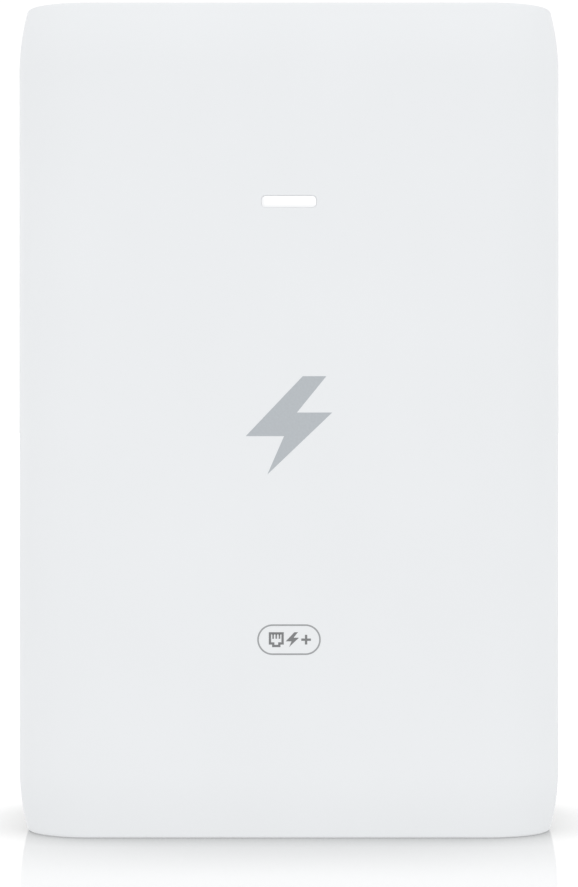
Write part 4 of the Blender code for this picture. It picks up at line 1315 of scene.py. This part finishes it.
def make_can(node, axis, towards):
    """Electrolytic capacitor: crimped sleeve and a scored aluminium end."""
    low, high, centre = measure(node)
    length = high[axis] - low[axis]
    radius = (high.x - low.x) / 2
    origin = list(centre)
    origin[axis] = low[axis] if towards > 0 else high[axis]
    sleeve = turned_profile(
        length, radius, towards=towards,
        near=((0, 0.6), (0.15, 0.15), (0.5, 0), (1.6, 0), (1.9, 0.3), (2.3, 0.45), (2.7, 0.3),
              (3, 0)),
        far=((0.8, 0), (0.3, 0.12), (0.08, 0.5), (0.02, 0.9), (0.25, 0.95)))
    smooth(new_piece(f"{node}_sleeve", turned_shape(origin, axis, sleeve, 56),
                     "can_sleeve", [node]))
    end = turned_profile(length, radius, near=(), towards=towards,
                         far=((0.6, 1.2), (0.2, 1), (0.08, 1.15), (0.05, 2)))
    top = new_piece(f"{node}_end", turned_shape(origin, axis, end, 48), "heat_sink_aluminium")
    score = [(towards * (length + out * MM), plus_outline(radius * 1.2, 0.3 * MM))
             for out in (-0.18, 0.3)]
    cut(top, stacked_shape(origin, axis, score))
    smooth(top)


def make_disc(node, axis, slot):
    """Dipped disc with full, softly domed faces."""
    low, high, centre = measure(node)
    half = (high[axis] - low[axis]) / 2
    radius = (high.y - low.y) / 2
    profile = []
    for step in range(21):
        turn = math.radians(-88.0 + 176.0 * step / 20)
        profile.append((half * math.copysign(abs(math.sin(turn)) ** 0.7, turn),
                        radius * math.cos(turn) ** 0.42))
    disc = new_piece(f"{node}_disc", turned_shape(centre, axis, profile, 48), slot, [node])
    smooth(disc, 60.0)


def make_fuse():
    """Round radial fuse with a stepped base and a domed cap."""
    low, high, centre = measure("fuse")
    profile = turned_profile(high.y - low.y, (high.x - low.x) / 2,
                             near=((0, 0.3), (0.2, 0), (1.4, 0), (1.6, 0.35)),
                             far=((1, 0.45), (0.3, 0.75), (0, 1.5)))
    cap = turned_shape((centre.x, high.y, centre.z), 1, profile, 48)
    smooth(new_piece("fuse_cap", cap, "black_plastic", ["fuse"]))


def bolt_hole(node, normal):
    """Cutter for the bolt through a transistor's tab."""
    low, _, start = measure(node)
    start.y = low.y + 2.8 * MM
    end = start.copy()
    start[normal] -= 8.0 * MM
    end[normal] += 8.0 * MM
    return cylinder_shape(start, end, 1.7 * MM)


def make_heat_sink(node, partner, normal):
    """Extruded plate, grooved on its free side, with a bolt hole for its transistor."""
    low, high, centre = measure(node)
    plate = new_piece(f"{node}_plate", box_shape(low, high), "heat_sink_aluminium", [node])
    lengthwise = 2 - normal
    groove_pitch, groove_half = 1.6 * MM, 0.4 * MM
    count = int((high[lengthwise] - low[lengthwise]) / groove_pitch)
    cutters = []
    for place in row(count, groove_pitch):
        corner, other = low.copy(), high.copy()
        corner[lengthwise] = centre[lengthwise] + place - groove_half
        other[lengthwise] = centre[lengthwise] + place + groove_half
        corner[normal] -= 1.0 * MM
        other[normal] = low[normal] + 0.7 * MM
        corner.y -= 1.0 * MM
        other.y -= 1.5 * MM
        cutters.append(box_shape(corner, other))
    cut(plate, *cutters, bolt_hole(partner, normal))
    soften(plate, 0.08 * MM, segments=2)


def make_transistor(node, normal):
    """Plastic body moulded on a metal tab, which lies towards the heat sink."""
    low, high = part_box(node)
    tab_high = high.copy()
    tab_high[normal] = low[normal] + 1.3 * MM
    tab = new_piece(f"{node}_tab", box_shape(low, tab_high), "pin_nickel", [node])
    cut(tab, bolt_hole(node, normal))
    soften(tab, 0.1 * MM, segments=2)
    body_low = low.copy()
    body_low[normal] += 0.9 * MM
    body_low.y = high.y - 9.2 * MM
    body = new_piece(f"{node}_body", box_shape(body_low, high), "black_plastic")
    spot = (body_low + high) / 2
    spot[normal] = high[normal] - 0.12 * MM
    beyond = spot.copy()
    beyond[normal] += 1.0 * MM
    cut(body, cylinder_shape(spot, beyond, 0.9 * MM))
    soften(body, 0.35 * MM)


def make_choke():
    """Ring core, two windings of round wire and their ends."""
    low, high, centre = measure("choke_core")
    tube = (high.y - low.y) / 2
    ring = (high.x - low.x) / 2 - tube

    def ring_point(turn, swing, reach):
        """A point round the core's middle line, reach away from that line."""
        out = ring + reach * math.cos(swing)
        return Vector((centre.x + out * math.cos(turn), centre.y - reach * math.sin(swing),
                       centre.z + out * math.sin(turn)))

    route = [ring_point(math.tau * step / 72, 0.0, 0.0) for step in range(72)]
    core = swept_shape(route, circle_outline(tube, 24), closed=True)
    smooth(new_piece("choke_ring", core, "ferrite", ["choke_core"]), 60.0)
    section = circle_outline(CHOKE_WIRE_RADIUS, 8)
    for name, start in (("line", 110.0), ("neutral", 290.0)):
        shares = [step / (COIL_TURNS * 18) for step in range(COIL_TURNS * 18 + 1)]
        route = [ring_point(math.radians(start + CHOKE_SPAN * share),
                            math.tau * COIL_TURNS * share, tube + CHOKE_WIRE_GAP)
                 for share in shares]
        smooth(new_piece(f"choke_{name}_turns", swept_shape(route, section),
                         "copper_enamel", [f"choke_winding_{name}"]), 60.0)
    out = (ring + tube) / MM * 0.85
    angles = [math.radians(degrees) for degrees in (70.0, 110.0, 250.0, 290.0)]
    make_leads("choke_core", [(out * math.cos(turn), out * math.sin(turn))
                              for turn in angles], CHOKE_WIRE_RADIUS / MM)


def make_inductor():
    """Drum core with a copper winding between its flanges."""
    low, high, centre = measure("output_inductor")
    radius = (high.x - low.x) / 2
    height = high.y - low.y
    base = (centre.x, high.y, centre.z)
    flange = ((0, 0.2), (0.2, 0), (1.2, 0), (1.3, 1.3))
    drum = turned_profile(height, radius, flange, reversed(flange))
    smooth(new_piece("inductor_drum", turned_shape(base, 1, drum, 48), "ferrite",
                     ["output_inductor"]))
    pitch = (height - 2.7 * MM) / COIL_TURNS
    winding = []
    for step in range(COIL_TURNS * 6 + 1):
        swell = 0.22 * MM * abs(math.sin(math.pi * step / 6))
        winding.append((-(1.35 * MM + pitch * step / 6), radius - 0.75 * MM + swell))
    smooth(new_piece("inductor_winding", turned_shape(base, 1, winding, 48),
                     "copper_enamel"), 60.0)


def make_power_parts():
    """Finer pieces for the parts on the board, with their leads and feet."""
    make_fuse()
    make_disc("varistor", 0, "blue_epoxy")
    make_disc("thermistor", 2, "dark_green_epoxy")
    make_disc("y_capacitor", 2, "blue_epoxy")
    make_can("bulk_capacitor", 2, 1)
    for number in (1, 2):
        make_can(f"output_capacitor_{number}", 1, -1)
    make_heat_sink("primary_heat_sink", "primary_mosfet", 0)
    make_heat_sink("secondary_heat_sink", "output_rectifier", 2)
    make_transistor("primary_mosfet", 0)
    make_transistor("output_rectifier", 2)
    make_choke()
    make_inductor()
    for node in ("bridge_rectifier", "pwm_controller", "optocoupler", "data_magnetics",
                 "poe_magnetics", "pse_controller"):
        make_package(node)

    def across_pair(pitch):
        """Two leads side by side."""
        return [(place, 0) for place in row(2, pitch)]

    make_leads("fuse", across_pair(5.0))
    make_leads("varistor", [(0, place) for place in row(2, 5.08)], sink=1.3)
    make_leads("thermistor", across_pair(5.0), sink=1.3)
    make_leads("y_capacitor", across_pair(5.0), sink=1.3)
    make_leads("x_capacitor", across_pair(10.0), 0.35)
    for number in (1, 2):
        make_leads(f"output_capacitor_{number}", across_pair(3.5))
    make_leads("output_inductor", across_pair(6.0))
    make_leads("primary_mosfet", [(0, place) for place in row(3, 2.54)], 0.4)
    make_leads("output_rectifier", [(place, 0) for place in row(3, 2.54)], 0.4)
    make_leads("transformer_bobbin", [(place, side) for place in row(4, 3.5)
                                      for side in (-7.7, 7.7)], 0.35)
    make_feet("bridge_rectifier", 2, 3.8, 0, 1.2, 0.7)
    make_feet("pwm_controller", 4, 1.27, 0, 1.0)
    make_feet("optocoupler", 2, 2.54, 2, 1.2, 0.6)
    for prefix in ("data", "poe"):
        make_feet(f"{prefix}_magnetics", 8, 1.27, 0, 1.0)


def finish_cad_nodes():
    """Soft edges and real finishes for the CAD nodes that are shown as they are."""
    for entry in frame["record"]["subparts"]:
        node = frame["nodes"][entry["node"]]
        if node.hide_render:
            continue
        node.data.materials.clear()
        node.data.materials.append(finish_of(entry["material_slot"]))
        soften(node, EDGE_WIDTHS.get(entry["node"], EDGE_WIDTH))


# ---- stage

def contact_shade(material, reach, darkest, sharpness):
    """A painted shadow: a value that falls from 1 to darkest where things stand within reach of
    the floor.
    """
    around = add_node(material, "ShaderNodeAmbientOcclusion")
    around.inputs["Distance"].default_value = reach
    bent = calculate(material, 'POWER', around.outputs["AO"], sharpness)
    return spread(material, bent, darkest, 1.0, 0.0, 1.0)


def floor_finish():
    """Glossy from above, with soft contact shadows painted into its colour and glow; clear from
    below.
    """
    tone = (FLOOR_TONE,) * 3
    material = new_material("floor", tone, 0.05)
    set_roughness(material, grain(material, 60), 0.04, 0.07)
    painted_crease_shadow = contact_shade(material, CREASE_REACH, CREASE_DARKEST, 1.0)
    painted_contact_shadow = contact_shade(material, CONTACT_REACH, 0.0, CONTACT_SHARPNESS)
    # painted shadow: the floor's colour darkens right beside the base
    set_colour(material, mix_colour(material, painted_crease_shadow, (0.0, 0.0, 0.0), tone))
    away = add_node(material, "ShaderNodeVectorMath", operation='LENGTH')
    wire(material, coordinates(material, "Object"), away.inputs[0])
    # painted shade: the floor's glow is lower near the object
    glow_with_painted_shade = spread(material, away.outputs["Value"], NEAR_GLOW, FAR_GLOW, *GLOW_RANGE)
    # painted shadow: the glow dims where the object stands close by
    painted_shadows = calculate(material, 'MULTIPLY', painted_contact_shadow, painted_crease_shadow)
    set_glow(material, calculate(material, 'MULTIPLY', glow_with_painted_shade, painted_shadows))
    geometry = add_node(material, "ShaderNodeNewGeometry")
    clear = add_node(material, "ShaderNodeBsdfTransparent")
    mix = add_node(material, "ShaderNodeMixShader")
    wire(material, geometry.outputs["Backfacing"], mix.inputs[0])
    wire(material, shader_of(material).outputs[0], mix.inputs[1])
    wire(material, clear.outputs[0], mix.inputs[2])
    output = material.node_tree.nodes["Material Output"]
    wire(material, mix.outputs[0], output.inputs["Surface"])
    return material


def make_floor():
    """Pale floor that reflects the object and doesn't darken its underside."""
    bpy.ops.mesh.primitive_plane_add(size=FLOOR_SIZE, location=(0, 0, FLOOR_Z))
    floor = bpy.context.object
    floor.name = "floor"
    floor.visible_diffuse = False
    floor.visible_glossy = False
    floor.visible_shadow = False
    floor.data.materials.append(floor_finish())


def make_world():
    """Soft white surroundings, brighter in front, above, near the horizon and straight below."""
    world = bpy.data.worlds.new("studio")
    world.use_nodes = True
    way = separate(world, coordinates(world, "Generated"))
    level = WORLD_LEVEL
    for axis, share in (("X", WORLD_RIGHT), ("Y", -WORLD_FRONT), ("Z", WORLD_TOP)):
        level = calculate(world, 'MULTIPLY_ADD', way[axis], share, level)
    steepness = calculate(world, 'ABSOLUTE', way["Z"])
    for height, extra, band in ((steepness, WORLD_HORIZON, HORIZON_BAND),
                                (way["Z"], WORLD_BOUNCE, BOUNCE_BAND)):
        level = calculate(world, 'ADD', level, spread(world, height, 0.0, extra, *band))
    path = add_node(world, "ShaderNodeLightPath")
    pick = add_node(world, "ShaderNodeMix")
    pick.inputs[3].default_value = BACKDROP_LEVEL
    wire(world, path.outputs["Is Camera Ray"], pick.inputs[0])
    wire(world, level, pick.inputs[2])
    background = world.node_tree.nodes["Background"]
    background.inputs["Color"].default_value = WHITE_LIGHT
    wire(world, pick.outputs[0], background.inputs["Strength"])
    bpy.context.scene.world = world
    bpy.context.scene.view_settings.view_transform = 'Standard'


def make_overhead_light():
    """A weak square light in front of the object and high above it, turned towards it."""
    data = bpy.data.lights.new("overhead light", 'AREA')
    data.shape = 'RECTANGLE'
    data.size = data.size_y = OVERHEAD_SIZE
    data.energy = OVERHEAD_POWER
    light = bpy.data.objects.new("overhead light", data)
    light.location = OVERHEAD_PLACE
    light.rotation_euler = (-Vector(OVERHEAD_PLACE)).to_track_quat('-Z', 'Y').to_euler()
    light.visible_camera = False
    bpy.context.scene.collection.objects.link(light)


def make_camera():
    """Level with the middle of the case, straight in front of it."""
    data = bpy.data.cameras.new("camera")
    data.lens = CAMERA_LENS
    data.sensor_width = 36.0
    data.shift_y = CAMERA_SHIFT_Y
    camera = bpy.data.objects.new("camera", data)
    camera.location = (0.0, FRONT_Y - CAMERA_DISTANCE, CASE_HEIGHT / 2)
    camera.rotation_euler = (math.radians(90), 0, 0)
    bpy.context.scene.collection.objects.link(camera)
    bpy.context.scene.camera = camera


make_camera()
make_world()
make_floor()
make_overhead_light()
make_front_shell()
make_rear_shell()
make_lens()
make_marks()
make_bracket()
make_case_screws()
make_port_panel()
for prefix in ("data", "poe"):
    make_shield(prefix)
    make_insert(prefix)
    make_contacts(prefix)
make_inlet()
make_power_parts()
finish_cad_nodes()
